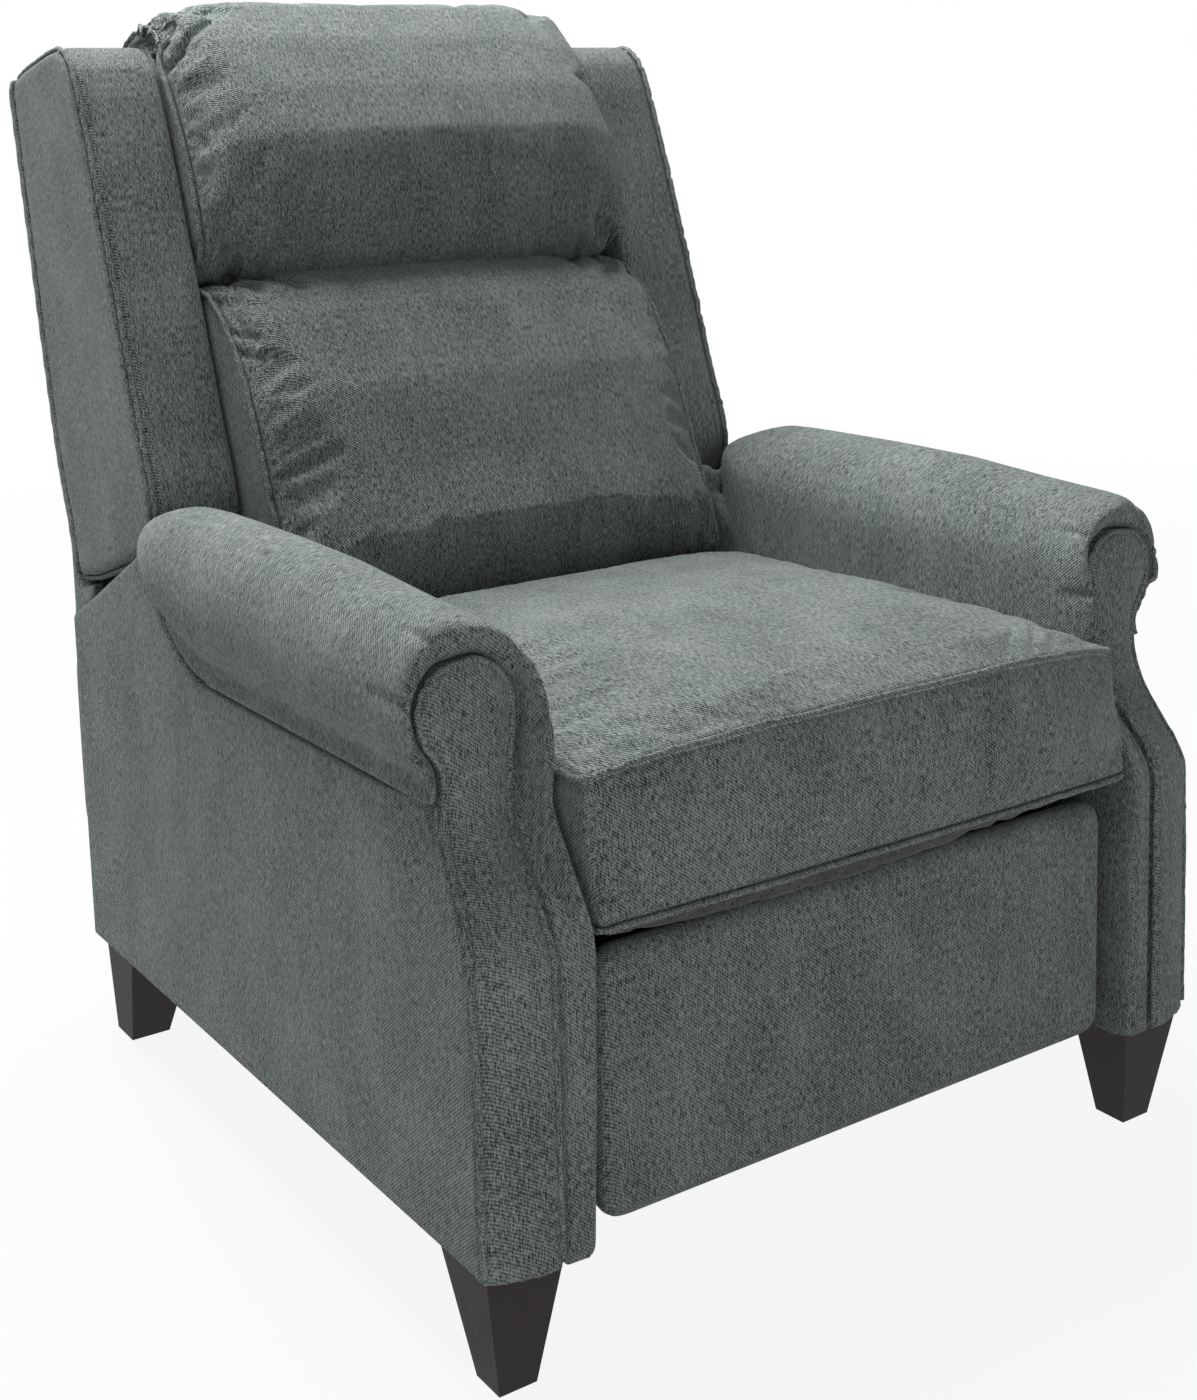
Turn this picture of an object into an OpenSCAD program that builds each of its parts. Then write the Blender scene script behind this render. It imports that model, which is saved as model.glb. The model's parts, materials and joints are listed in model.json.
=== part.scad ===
// Push-back recliner with wings, rolled arms and four tapered legs.
// Millimetres, +Z up. The chair faces -Y and the sitter's left hand is on +X.
// Sizes are measured from the front of the arm panels and from the floor;
// place() then moves the chair so that its origin is on the floor, at the middle of its outline.

/* [Chair] */
// Width over the two outer side panels
chair_w = 780; // [720:10:860]
// Depth of a side panel behind the front of the arm panels
side_d = 838; // [800:2:900]
// Height of the base above the floor
leg_h = 112; // [80:1:150]

/* [Legs] */
// Width of a leg at its top
leg_top = 70; // [56:1:76]
// Width of a front leg at the floor
leg_foot = 34; // [26:1:48]
// Distance that a rear leg rakes backwards
leg_rake = 38; // [0:1:50]
// Thickness of the glide under a leg
glide_t = 2; // [1:0.5:5]

/* [Arms] */
// Width of an arm from its outer to its inner face
arm_t = 100; // [92:1:112]
// Thickness of the covered outer side panel
panel_t = 20; // [14:1:24]
// Thickness of the padded inner arm
inner_t = 15; // [10:1:22]
// Height of the side panel from the base to the roll
arm_h = 354; // [330:2:380]
// Height of the roll at the front of the arm
roll_h = 140; // [125:1:150]
// Extra height of the roll at its middle
roll_rise = 14; // [0:1:24]
// How far the roll stands out past the side panel
roll_out = 22; // [6:1:26]
// Width of the tongue-shaped front panel
tongue_w = 63; // [54:1:66]
// Thickness of the front panel
tongue_t = 16; // [12:1:20]
// How far the arm front sweeps back from its foot to its head
sweep = 72; // [50:1:80]

/* [Seat] */
// Running gap between the seat cushion and an arm
seat_gap = 2; // [1:0.5:6]
// Height of the cushion's boxing at the front
boxing_h = 115; // [95:1:120]
// Crown of the cushion above its top seam
seat_crown = 26; // [8:1:30]
// Thickness of the wooden seat rails
rail_t = 24; // [18:1:28]
// Height of the wooden seat rails
rail_h = 60; // [40:1:64]
// Wire of the seat springs
spring_d = 4; // [3:0.2:4]
// Number of seat springs
spring_n = 4; // [3:1:5]

/* [Back] */
// Running gap between the back and a side panel
back_gap = 8; // [4:1:12]
// Thickness of a wing from its outer to its inner face
wing_t = 97; // [90:1:100]
// Rake of the inner back from upright
rake = 22.5; // [20:0.5:24]
// Thickness of the padded outside back
back_t = 18; // [12:1:24]
// Side clearance of the two pillows
pillow_gap = 3; // [1:0.5:8]
// Crown of the pillows at their middle
pillow_crown = 50; // [20:1:60]
// Thickness of the back frame's boards
board_t = 24; // [18:1:26]

/* [Footrest] */
// Gap between the footrest and an arm
foot_gap = 11; // [6:1:16]
// Height of the footrest panel
foot_h = 224; // [200:1:230]
// Thickness of the footrest padding
foot_pad_t = 27; // [20:1:30]
// Thickness of the footrest board
foot_board_t = 12; // [9:1:15]
// Setback of the footrest behind the arm fronts
foot_set = 18; // [10:1:24]

/* [Mechanism] */
// Thickness of the steel links
link_t = 4; // [3:0.5:5]
// Gap between neighbouring links
link_gap = 3; // [2.5:0.5:4]
// Width of a link
link_w = 22; // [18:1:24]
// Diameter of the pivot pins
pin_d = 10; // [8:0.5:11]
// Running clearance between a pin's radius and its hole
pin_fit = 0.05; // [0.02:0.01:0.1]
// Diameter of the two cross tubes
tube_d = 20; // [16:1:24]
// Distance between the pivots of a seat rocker
rocker_len = 110; // [100:1:120]
// Backward lean of the rockers at rest
rocker_lean = 50.5; // [46:0.5:54]

/* [Hidden] */

fabric = "#4d5856";
dark_wood = "#3a3432";
pine = "#c8a878";
steel = "#3d4043";
black_cloth = "#1f1f20";

// Heights
base_z = leg_h;
crease_z = base_z + arm_h;
frame_top = base_z + 238;
flange_t = 4;
deck_t = 2.5;
cushion_z = frame_top + flange_t + deck_t + 0.5;

// Planes across the chair, from its middle outwards
x_out = chair_w / 2;
x_side = x_out - panel_t;
x_arm = x_out - arm_t;
x_inner = x_arm + inner_t;
x_wing = x_side - back_gap;
x_wing_in = x_wing - wing_t;
x_pillow = x_wing_in - pillow_gap;
x_cushion = x_arm - seat_gap;
x_frame = layer(6) - link_gap - 3;

// The steel links lie in layers, counted inwards from the inner face of the arm
function layer(k) = x_arm - link_t - k * (link_t + link_gap);

// Pivots in the side view, [distance behind the arm fronts, height]
recline_p = [side_d - 148, base_z + 218];
crank_p = [130, base_z + 193];
crank_arm = [85, -145];
lift_arm = [-130, 150];
tilt_off = [-8, -36];
guide_off = [45, -20];
lift_p = crank_p + crank_arm;
foot_p = lift_p + lift_arm;
tilt_low = lift_p + tilt_off;
tilt_high = foot_p + tilt_off;
guide_p = crank_p + guide_off;
guide_low = lift_p + guide_off;
rocker_arm = rocker_len * [sin(rocker_lean), cos(rocker_lean)];
front_base_p = [300, base_z + 68];
rear_base_p = [520, base_z + 68];
front_seat_p = front_base_p + rocker_arm;
rear_seat_p = rear_base_p + rocker_arm;
tube_p = crank_p + crank_arm / 2;
rocker_mid = front_base_p + rocker_arm / 2;

// Depth of the seat: the cushion stops under the lumbar pillow
cushion_end = recline_p[0] - 124;
cushion_bow = 26;
frame_front = 72;
frame_rear = recline_p[0] - 78;
roll_end = recline_p[0] - 45;
tongue_head = 110;

// Rear line of the outside back, from its lower edge to its top, from the recline pivot
rear_line = [for (q = [[228, -140], [236, -110], [240, -30], [236, 50], [227, 120], [223, 170],
                       [230, 215], [248, 260], [265, 320], [334, 684]]) recline_p + q];
back_top = rear_line[9];
// Foot of the inner back plane
plane_p = recline_p + [55, 190];
plane_top = 545;

// The chair is centred between the front of its cushion and the top of its back
front_y = 10 - cushion_bow;
origin_y = (front_y + back_top[0]) / 2;

function ease(t) = let (u = min(max(t, 0), 1)) u * u * (3 - 2 * u);
// The outer corner of an arm front stands this far behind its inner corner
corner_set = 17;
// Sweep of the arm front in side view, 0 at the foot and 1 at the head
function front_sweep(z) = ease((z - (crease_z - 111)) / 110);
function tongue_in_y(z) = sweep * front_sweep(z);
function tongue_out_y(z) = corner_set + (sweep - corner_set) * ease((z - (crease_z - 122)) / 112);
// A point of the raked back: v up the inner back plane, n forwards from it
function raked(v, n) = plane_p + v * [sin(rake), cos(rake)] + n * [-cos(rake), sin(rake)];
// Cuts every corner of an open line once
function cut(p) = [p[0], for (i = [0:len(p) - 2]) let (q = p[i + 1]) each [p[i] * 0.75 + q * 0.25, p[i] * 0.25 + q * 0.75],
                   p[len(p) - 1]];
// Cuts every corner of a closed outline once
function cut_ring(p) = [for (i = [0:len(p) - 1]) let (q = p[(i + 1) % len(p)])
                        each [p[i] * 0.75 + q * 0.25, p[i] * 0.25 + q * 0.75]];
function total(v, i = 0) = i < len(v) ? v[i] + total(v, i + 1) : v[0] * 0;
function middle(r) = total(r) / len(r);
// Top of the roll and the seam under it, along the arm
function seam_z(y) = crease_z + 104 * pow(max(0, (y - (roll_end - 165)) / 165), 2);
function roll_top_z(y) = crease_z + roll_h + roll_rise * ease((y - 80) / 260)
                         - 6 * ease((y - (roll_end - 150)) / 150);

module place() {
    translate([0, -origin_y, 0]) children();
}

// The mirrored copy for the sitter's right hand
module right() {
    mirror([1, 0, 0]) children();
}

module both() {
    children();
    right() children();
}

// Skin over rings of points; each ring turns anticlockwise about the way that the rings go
module loft(rings) {
    n = len(rings[0]);
    m = len(rings);
    points = [for (r = rings) each r, middle(rings[0]), middle(rings[m - 1])];
    sides = [for (j = [0:m - 2]) for (i = [0:n - 1]) let (k = (i + 1) % n)
             each [[j * n + i, (j + 1) * n + i, (j + 1) * n + k], [j * n + i, (j + 1) * n + k, j * n + k]]];
    low = [for (i = [0:n - 1]) [m * n, i, (i + 1) % n]];
    high = [for (i = [0:n - 1]) [m * n + 1, (m - 1) * n + (i + 1) % n, (m - 1) * n + i]];
    polyhedron(points = points, faces = concat(sides, low, high), convexity = 6);
}

// A flat outline in the side view, made thickness t from x outwards
module plate(x, t) {
    translate([x, 0, 0]) rotate([90, 0, 90]) linear_extrude(t) children();
}

module pin(p, x0, x1, d = pin_d) {
    translate([x0, p[0], p[1]]) rotate([0, 90, 0]) cylinder(d = d, h = x1 - x0, $fn = 32);
}

// Flat bar between the eyes of two pivots, a little thinner than the eyes
module bar(x, p, q, w = link_w - 4) {
    d = q - p;
    start = pin_d / 2 + 3;
    thin = 0.3;
    translate([x + thin, p[0], p[1]]) rotate([atan2(d[1], d[0]), 0, 0]) translate([0, start, -w / 2])
        cube([link_t - 2 * thin, norm(d) - 2 * start, w]);
}

// Round eyes of a link at its pivots
module eyes(x, pivots, d = link_w + 2) {
    for (p = pivots) pin(p, x, x + link_t, d);
}

module holes(x, pivots) {
    for (p = pivots) pin(p, x - 1, x + link_t + 1, pin_d + 2 * pin_fit);
}

// Rivet from its own link at x through the links up to layer k, with its head beyond that layer
module rivet(p, x, k) {
    gap = 0.4;
    t = 2;
    if (layer(k) < x) {
        pin(p, layer(k) - gap - t / 2, x + link_t / 2);
        pin(p, layer(k) - gap - t, layer(k) - gap, pin_d + 7);
    } else {
        pin(p, x + link_t / 2, layer(k) + link_t + gap + t / 2);
        pin(p, layer(k) + link_t + gap, layer(k) + link_t + gap + t, pin_d + 7);
    }
}

// Legs

module leg(x, y, top, foot, rake_y) {
    corners = [[-1, -1], [1, -1], [1, 1], [-1, 1]];
    difference() {
        loft([
            [for (c = corners) [x + c[0] * foot / 2, y + rake_y + c[1] * foot / 2, glide_t]],
            [for (c = corners) [x + c[0] * top / 2, y + c[1] * top / 2, base_z]]
        ]);
        translate([x, y, base_z - 45]) cylinder(d = 8.4, h = 50, $fn = 24);
    }
}

leg_x = x_out - 5 - leg_top / 2;
front_leg_y = 21 + leg_top / 2;
rear_leg_y = side_d - 64;

module leg_front() {
    color(dark_wood) place() leg(leg_x, front_leg_y, leg_top, leg_foot, 0);
}

module leg_rear() {
    color(dark_wood) place() leg(leg_x, rear_leg_y, leg_top, leg_foot + 8, leg_rake);
}

module leg_bolts() {
    color(steel) place() both() for (y = [front_leg_y, rear_leg_y])
        translate([leg_x, y, base_z - 40]) cylinder(d = 8, h = 58, $fn = 24);
}

module glides() {
    color(black_cloth) place() both() {
        translate([leg_x, front_leg_y, 0]) cylinder(d = 22, h = glide_t, $fn = 32);
        translate([leg_x, rear_leg_y + leg_rake, 0]) cylinder(d = 22, h = glide_t, $fn = 32);
    }
}

// Arms

rail_low = 26;
rail_high = 58;
top_board_t = 20;
x_cleat = x_arm + 40;
bolt_points = [for (y = [front_base_p[0] + 30 : 95 : rear_base_p[0] + 10]) [y, base_z + 28]];

module arm_frame() {
    post_y = tongue_head - 18;
    post_h = arm_h - rail_high - top_board_t;
    color(pine) place() difference() {
        union() {
            translate([x_cleat, 36, base_z]) cube([x_side - x_cleat, side_d - 61, rail_low]);
            translate([x_arm, 46, base_z]) cube([x_side - x_arm, recline_p[0] - 46, rail_high]);
            translate([x_cleat, post_y, base_z + rail_high]) cube([x_side - x_cleat, 48, post_h]);
            translate([x_inner, roll_end - 45, base_z + rail_high]) cube([x_side - x_inner, 40, post_h]);
            translate([x_inner, post_y + 28, crease_z - top_board_t])
                cube([x_side - x_inner, roll_end - 33 - post_y, top_board_t]);
        }
        for (y = [front_leg_y, rear_leg_y]) translate([leg_x, y, base_z - 1]) cylinder(d = 8.4, h = 20, $fn = 24);
        for (q = bolt_points) pin(q, x_arm - 1, x_arm + 30.5, 8.4);
    }
}

module side_panel() {
    front = [for (h = [for (q = outer_edge) if (q[1] < -1) q[1], -0.5]) let (z = crease_z + h)
             [tongue_out_y(z) + tongue_t + 0.3, z]];
    seam = [for (k = [0:8]) let (y = roll_end - 160 + k * 18) [y, seam_z(y) - 0.5]];
    slope = [[roll_end - 12, crease_z + 100], [side_d, crease_z]];
    color(fabric) place() plate(x_side, panel_t)
        polygon([for (q = front) q, for (q = seam) q, for (q = slope) q, [side_d, base_z]]);
}

module inner_arm() {
    low = base_z + rail_high + 4;
    front = [for (z = [low, for (k = [0:8]) crease_z - 111 + k * 13.75]) [tongue_in_y(z) + 45, z]];
    seam = [for (k = [0:7]) let (y = roll_end - 165 + k * 20) [y, seam_z(y) - 0.5]];
    color(fabric) place() plate(x_arm, inner_t)
        polygon([for (q = front) q, for (q = seam) q, [roll_end - 19, crease_z + 100], [roll_end, crease_z + 106],
                 [roll_end, low]]);
}

// Section of the roll at depth y. The rear ones shrink about their middle, and the front ones about the
// crease, so that the band round the tongue runs on into the border below it.
function roll_ring(y, shrink, front = false) = let (
        low = seam_z(y),
        top = roll_top_z(y),
        rx = (arm_t + roll_out) / 2,
        cx = x_arm + rx,
        cz = low + (top - low) * 0.53,
        rz = top - cz,
        tilt = 5,
        upper = [for (a = [180:-15:0]) [cx + rx * cos(a), cz + rz * sin(a) + tilt * sin(2 * a)]],
        under = [for (a = [-15:-15:-45]) [cx + rx * cos(a), cz + rz * sin(a) * 0.95]],
        ring = concat([[x_arm, low]], upper, under, [[x_out - 5, low + (top - low) * 0.14], [x_out, low]]),
        hub = [cx, front ? low : low + (top - low) * 0.45]
    ) [for (q = ring) let (
        outer = front && q[0] > cx,
        across = outer ? 1 - (1 - shrink) * min(1, (q[1] - low) / (cz - low)) : shrink
    ) [hub[0] + (q[0] - hub[0]) * across, y, hub[1] + (q[1] - hub[1]) * shrink]];

module arm_roll() {
    start = sweep + 2;
    tail = 80;
    band = [[0, 0.84], [3, 0.91], [9, 0.96], [20, 0.99]];
    color(fabric) place() difference() {
        loft([
            for (q = band) roll_ring(start + q[0], q[1], true),
            for (y = [start + 40, 180, 280, 380, roll_end - 165, roll_end - 120, roll_end - tail]) roll_ring(y, 1),
            for (t = [0.25, 0.5, 0.7, 0.85, 0.95]) roll_ring(roll_end - tail + tail * t, sqrt(1 - t * t) * 0.98)
        ]);
        translate([0, sweep + tongue_t + 0.3, 0]) rotate([90, 0, 0]) linear_extrude(tongue_t + 10)
            polygon([for (q = outer_edge) if (q[1] > -10) head_point(q, 1),
                     for (q = reversed(inner_edge)) if (q[1] > -20) head_point(q, -1)]);
    }
}

// A point of the tongue's outline with the clearance that the roll leaves round it
function head_point(q, side) = [x_out - q[0] + side, crease_z + q[1] + (q[1] > 90 ? 1.5 : 0)];

// Half outlines of the front panel, [x from the side panel's face, height over the crease]
outer_edge = [[0, -arm_h], [0, -111], [4, -88], [8, -64], [9, -51], [10, -38], [11, -22], [12, -7], [14, 12],
              [12, 28], [3, 42], [-5, 56], [-7, 70], [-4, 84], [4, 97], [16, 106]];
inner_curve = [[0, -arm_h], [0, -111], [-0.5, -100], [-1, -90], [0, -72], [2, -54], [4, -36], [6, -18], [10, 14],
               [12, 34], [14, 50], [15, 62], [14, 76], [9, 89], [-1, 101], [-16, 109]];
inner_edge = [for (q = inner_curve) [tongue_w + q[0], q[1]]];

module arm_front() {
    crown = 4;
    rings = [for (i = [0:len(outer_edge) - 1]) let (
            a = outer_edge[i],
            b = inner_edge[i],
            za = crease_z + a[1],
            zb = crease_z + b[1],
            xa = x_out - a[0],
            xb = x_out - b[0],
            ya = tongue_out_y(za),
            yb = tongue_in_y(zb)
        ) [
            [xb, yb + tongue_t, zb],
            [xb, yb, zb],
            for (t = [0.2, 0.5, 0.8])
                [xb + (xa - xb) * t, yb + (ya - yb) * t - crown * 4 * t * (1 - t), zb + (za - zb) * t],
            [xa, ya, za],
            [xa, ya + tongue_t, za]
        ]];
    color(fabric) place() loft(rings);
}

module arm_border() {
    levels = [0, for (k = [0:7]) arm_h - 111 + 14 * k, arm_h - 0.5];
    rings = [for (h = levels) let (
            z = base_z + h,
            y = tongue_in_y(z),
            x = x_out - lookup(h - arm_h, [for (q = inner_edge) if (q[1] < 30) [q[1], q[0]]]) - 0.5
        ) [
            [x_arm, y + 44.5, z], [x_arm, y + 26, z], [x_arm + (x - x_arm) * 0.1, y + 13, z],
            [x_arm + (x - x_arm) * 0.35, y + 3, z], [x_arm + (x - x_arm) * 0.7, y, z], [x, y + 2, z], [x, y + 44.5, z]
        ]];
    color(fabric) place() loft(rings);
}

// Base

module cross_rail(y, half, h) {
    translate([-half, y, base_z]) cube([2 * half, rail_t, h]);
}

front_rail_y = guide_low[0] + 22;
rear_rail_y = recline_p[0] + 10;

module front_rail() {
    color(pine) place() cross_rail(front_rail_y, layer(0), 46);
}

module rear_rail() {
    color(pine) place() cross_rail(rear_rail_y, x_cleat, 50);
}

module dust_cover() {
    color(black_cloth) place() translate([-x_arm + 2, front_rail_y, base_z - 1.2])
        cube([2 * x_arm - 4, rear_rail_y + rail_t - front_rail_y, 1]);
}

module base_plate() {
    x = layer(0);
    color(steel) place() difference() {
        union() {
            translate([x, front_base_p[0] - 30, base_z + 10])
                cube([link_t, rear_base_p[0] - front_base_p[0] + 70, front_base_p[1] - base_z - 4]);
            for (p = [front_base_p, rear_base_p]) {
                pin(p, x, x + link_t, 36);
                rivet(p, x, 1);
            }
        }
        for (q = bolt_points) pin(q, x - 1, x + link_t + 1, 8.4);
    }
}

module base_bolts() {
    x = layer(0);
    color(steel) place() both() for (q = bolt_points) {
        pin(q, x - 2.4, x, 15);
        pin(q, x, x + 30, 8);
    }
}

// Seat rockers

module rocker(p, q) {
    color(steel) place() difference() {
        union() {
            bar(layer(1), p, q, link_w + 2);
            eyes(layer(1), [p, q], link_w + 8);
        }
        holes(layer(1), [p, q]);
    }
}

module rocker_tube() {
    color(steel) place() difference() {
        pin(rocker_mid, -layer(1), layer(1), tube_d);
        pin(rocker_mid, -layer(1) - 1, layer(1) + 1, tube_d - 4);
    }
}

// Seat

module seat_frame() {
    color(pine) place() difference() {
        translate([-x_frame, frame_front, frame_top - rail_h]) cube([2 * x_frame, frame_rear - frame_front, rail_h]);
        translate([-x_frame + rail_t, frame_front + rail_t, frame_top - rail_h - 1])
            cube([2 * (x_frame - rail_t), frame_rear - frame_front - 2 * rail_t, rail_h + 2]);
        both() for (y = screw_y) translate([x_frame - rail_t / 2, y, frame_top - 30])
            cylinder(d = 5.2, h = 31, $fn = 24);
    }
}

screw_y = [frame_front + 60, (frame_front + frame_rear) / 2, frame_rear - 60];

module seat_screws() {
    color(steel) place() both() for (y = screw_y) translate([x_frame - rail_t / 2, y, frame_top - 28])
        cylinder(d = 5, h = 28 + flange_t - 0.2, $fn = 24);
}

// Zigzag wire springs, bars across the seat joined by half rings
module seat_springs() {
    z = frame_top + spring_d / 2;
    run = 40;
    pitch = 30;
    count = floor((frame_rear - frame_front - rail_t) / pitch);
    start = (frame_front + frame_rear - count * pitch) / 2;
    step = 2 * (x_frame - rail_t) / spring_n;
    color(steel) place() for (k = [0:spring_n - 1]) translate([(k - (spring_n - 1) / 2) * step, 0, 0]) {
        for (i = [0:count]) translate([-run / 2, start + i * pitch, z]) rotate([0, 90, 0])
            cylinder(d = spring_d, h = run, $fn = 16);
        for (i = [0:count - 1]) translate([(i % 2 == 0 ? 1 : -1) * run / 2, start + (i + 0.5) * pitch, z])
            rotate([0, 0, i % 2 == 0 ? -90 : 90]) rotate_extrude(angle = 180, $fn = 32)
                translate([pitch / 2, 0]) circle(d = spring_d, $fn = 16);
    }
}

module seat_deck() {
    color(black_cloth) place() translate([-layer(2) - link_t, frame_front, frame_top + flange_t])
        cube([2 * (layer(2) + link_t), frame_rear - frame_front, deck_t]);
}

// A cushion between an edge outline and a fuller middle outline, both in the side view
module crowned(edge, mid, half_w, power = 2.6) {
    steps = [-1, -0.97, -0.9, -0.78, -0.6, -0.35, 0, 0.35, 0.6, 0.78, 0.9, 0.97, 1];
    rings = [for (t = steps) let (f = 1 - pow(abs(t), power)) [for (i = [0:len(edge) - 1])
             let (q = edge[i] + (mid[i] - edge[i]) * f) [t * half_w, q[0], q[1]]]];
    loft(rings);
}

module seat_cushion() {
    z0 = cushion_z;
    seam_low = z0 + 9;
    seam_top = seam_low + boxing_h;
    e = cushion_end;
    bow = cushion_bow;
    crown = seat_crown;
    edge = [[64, z0 + 1], [300, z0], [e - 30, z0], [e - 3, z0 + 12], [e, z0 + 60], [e - 4, seam_top - 18],
            [e - 24, seam_top - 3], [400, seam_top], [250, seam_top], [120, seam_top], [50, seam_top],
            [21, seam_top], [14, seam_top - 40], [6, seam_low + 35], [2, seam_low], [20, seam_low - 6]];
    mid = [[64, z0], [300, z0], [e - 30, z0], [e - 3, z0 + 12], [e, z0 + 60], [e - 4, seam_top - 2],
           [e - 24, seam_top + 12], [400, seam_top + crown], [250, seam_top + crown + 16],
           [120, seam_top + crown + 12], [30, seam_top + crown + 1], [21 - bow, seam_top + 20],
           [12 - bow, seam_top - 20], [10 - bow, seam_low + 45], [2 - bow / 3, seam_low + 4], [26, seam_low - 15]];
    color(fabric) place() crowned(edge, mid, x_cushion, 4.5);
}

module seat_rail() {
    x = layer(2);
    t = link_t;
    rivets_in = [[crank_p, 5], [guide_p, 3], [recline_p, 3]];
    color(steel) place() difference() {
        union() {
            translate([x, crank_p[0], frame_top - 62]) cube([t, recline_p[0] - crank_p[0], 62 + flange_t]);
            translate([x, frame_front + 28, frame_top - 20]) cube([t, 60, 20 + flange_t]);
            translate([x_frame - rail_t, frame_front + 28, frame_top])
                cube([x + t - x_frame + rail_t, frame_rear - frame_front - 28, flange_t]);
            pin(crank_p, x, x + t, 36);
            pin(guide_p, x, x + t, 32);
            pin(recline_p, x, x + t, 46);
            for (p = [front_seat_p, rear_seat_p]) {
                pin(p, x, x + t, 32);
                translate([x, p[0] - 16, p[1]]) cube([t, 32, frame_top - p[1]]);
                rivet(p, x, 1);
            }
            for (q = rivets_in) rivet(q[0], x, q[1]);
        }
        for (y = screw_y) translate([x_frame - rail_t / 2, y, frame_top - 1]) cylinder(d = 5.2, h = 10, $fn = 24);
    }
}

// Back

bracket_bolts = [recline_p + [165, 30], recline_p + [185, 90]];

module back_frame() {
    rear = [for (q = cut(rear_line)) q - [back_t + 0.4, 0]];
    top = len(rear) - 1;
    front = [raked(plane_top, -12.7), raked(250, -12.7), raked(-30, -12.7)];
    x_rail = x_bracket - board_t / 3;
    side = [for (q = front) q, recline_p + [150, 90], recline_p + [150, -75],
            for (i = [4:top - 1]) rear[i], rear[top] - [4, 14]];
    color(pine) place() difference() {
        union() {
            both() plate(x_bracket - board_t, board_t) polygon(side);
            for (v = [-25, 230, plane_top - 65]) plate(-x_rail, 2 * x_rail)
                polygon([raked(v, -13), raked(v + 60, -13), raked(v + 60, -35), raked(v, -35)]);
            translate([-x_rail, recline_p[0] + 186, recline_p[1] - 72]) cube([2 * x_rail, 22, 50]);
        }
        both() for (q = bracket_bolts) pin(q, x_bracket - board_t - 1, x_bracket + 1, 8.4);
    }
}

x_bracket = layer(3);

module inner_back() {
    color(black_cloth) place() plate(-x_pillow, 2 * x_pillow)
        polygon([raked(-30, 0), raked(plane_top, 0), raked(plane_top, -12.5), raked(-30, -12.5)]);
}

module outside_back() {
    line = cut(rear_line);
    n = len(line);
    low = [for (q = line) if (q[1] < recline_p[1] + 128) q - [back_t - 1, 0]];
    color(fabric) place() {
        plate(-x_wing, 2 * x_wing) polygon([for (q = line) q, back_top + [-7, 13], back_top + [-back_t, 17],
                                            for (i = [n - 1:-1:0]) line[i] - [back_t, 0]]);
        plate(-x_wing_in + 1, 2 * x_wing_in - 2) polygon([for (q = crest) back_top + q]);
        both() plate(x_wing - back_t, back_t)
            polygon([for (q = low) q, recline_p + [196, 153], recline_p + [side_x, 162],
                     recline_p + [side_x, -122], recline_p + [side_x + 18, -140]]);
    }
}

// Fabric over the top of the back between the wings, from the top of the rear line
crest = [[-7, 13], [-28, 30], [-60, 40], [-60, 18], [-30, 8], [-back_t + 2, 0]];
// Front edge of the boxed sides under the wings, from the recline pivot
side_x = 162;

module wing() {
    gap = back_t + 0.5;
    rear = [for (i = [4:9]) rear_line[i] - [gap, 0]];
    outline = cut_ring([
        raked(44, 100), raked(21, 86), raked(3, 61),
        recline_p + [196, 155], rear[1] + [0, 8], rear[2], rear[3], rear[4], rear[5], back_top + [-gap, 18],
        raked(546, 85), raked(534, 106), raked(500, 122), raked(400, 120), raked(260, 112), raked(130, 102)
    ]);
    hub = middle(outline);
    rings = [for (s = [[x_wing_in, 0.985], [x_wing_in + 5, 1], [x_wing - 7, 1], [x_wing - 2, 0.99], [x_wing, 0.975]])
             [for (q = outline) let (p = hub + (q - hub) * s[1]) [s[0], p[0], p[1]]]];
    color(fabric) place() loft(rings);
}

module head_pillow() {
    c = pillow_crown;
    edge = [[290, 0.3], [284, 40], [288, 85], [298, 122], [335, 132], [385, 136], [440, 132], [500, 122],
            [560, 102], [572, 78], [570, 40], [552, 0.3]];
    mid = [[290, 0.3], [280, 50], [281, 112], [304, 107 + c], [345, 112 + c * 1.5], [395, 114 + c * 1.6],
           [450, 114 + c * 1.35], [515, 110 + c * 0.95], [572, 106 + c * 0.35], [600, 84], [598, 44], [552, 0.3]];
    color(fabric) place() crowned(raked_line(edge), raked_line(mid), x_pillow - 1, 8);
}

function reversed(p) = [for (i = [len(p) - 1:-1:0]) p[i]];
// Points up and off the inner back plane, in the order that crowned() turns
function raked_line(p) = [for (q = reversed(p)) raked(q[0], q[1])];

module lumbar_pillow() {
    c = pillow_crown;
    edge = [[-28, 0.3], [-112, 66], [-103, 124], [-94, 156], [-60, 160], [30, 158], [120, 160], [190, 150],
            [250, 124], [272, 92], [270, 40], [258, 0.3]];
    mid = [[-28, 0.3], [-112, 66], [-103, 124], [-92, 176], [-50, 162 + c * 0.8], [30, 156 + c * 0.8],
           [120, 154 + c * 0.8], [210, 136 + c * 0.7], [266, 122 + c * 0.3], [276, 100], [274, 44], [258, 0.3]];
    color(fabric) place() crowned(raked_line(edge), raked_line(mid), x_pillow - 1, 6);
}

module back_bracket() {
    x = x_bracket;
    color(steel) place() difference() {
        union() {
            pin(recline_p, x, x + link_t, 40);
            plate(x, link_t) polygon([recline_p + [-8, 18], recline_p + [8, -18], recline_p + [200, 0],
                                      recline_p + [206, 120], recline_p + [170, 120]]);
        }
        holes(x, [recline_p]);
        for (q = bracket_bolts) pin(q, x - 1, x + link_t + 1, 8.4);
    }
}

module back_bolts() {
    x = x_bracket;
    color(steel) place() both() for (q = bracket_bolts) {
        pin(q, x - board_t + 1, x + link_t, 8);
        pin(q, x + link_t, x + link_t + 2.2, 15);
    }
}

// Footrest linkage

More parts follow.
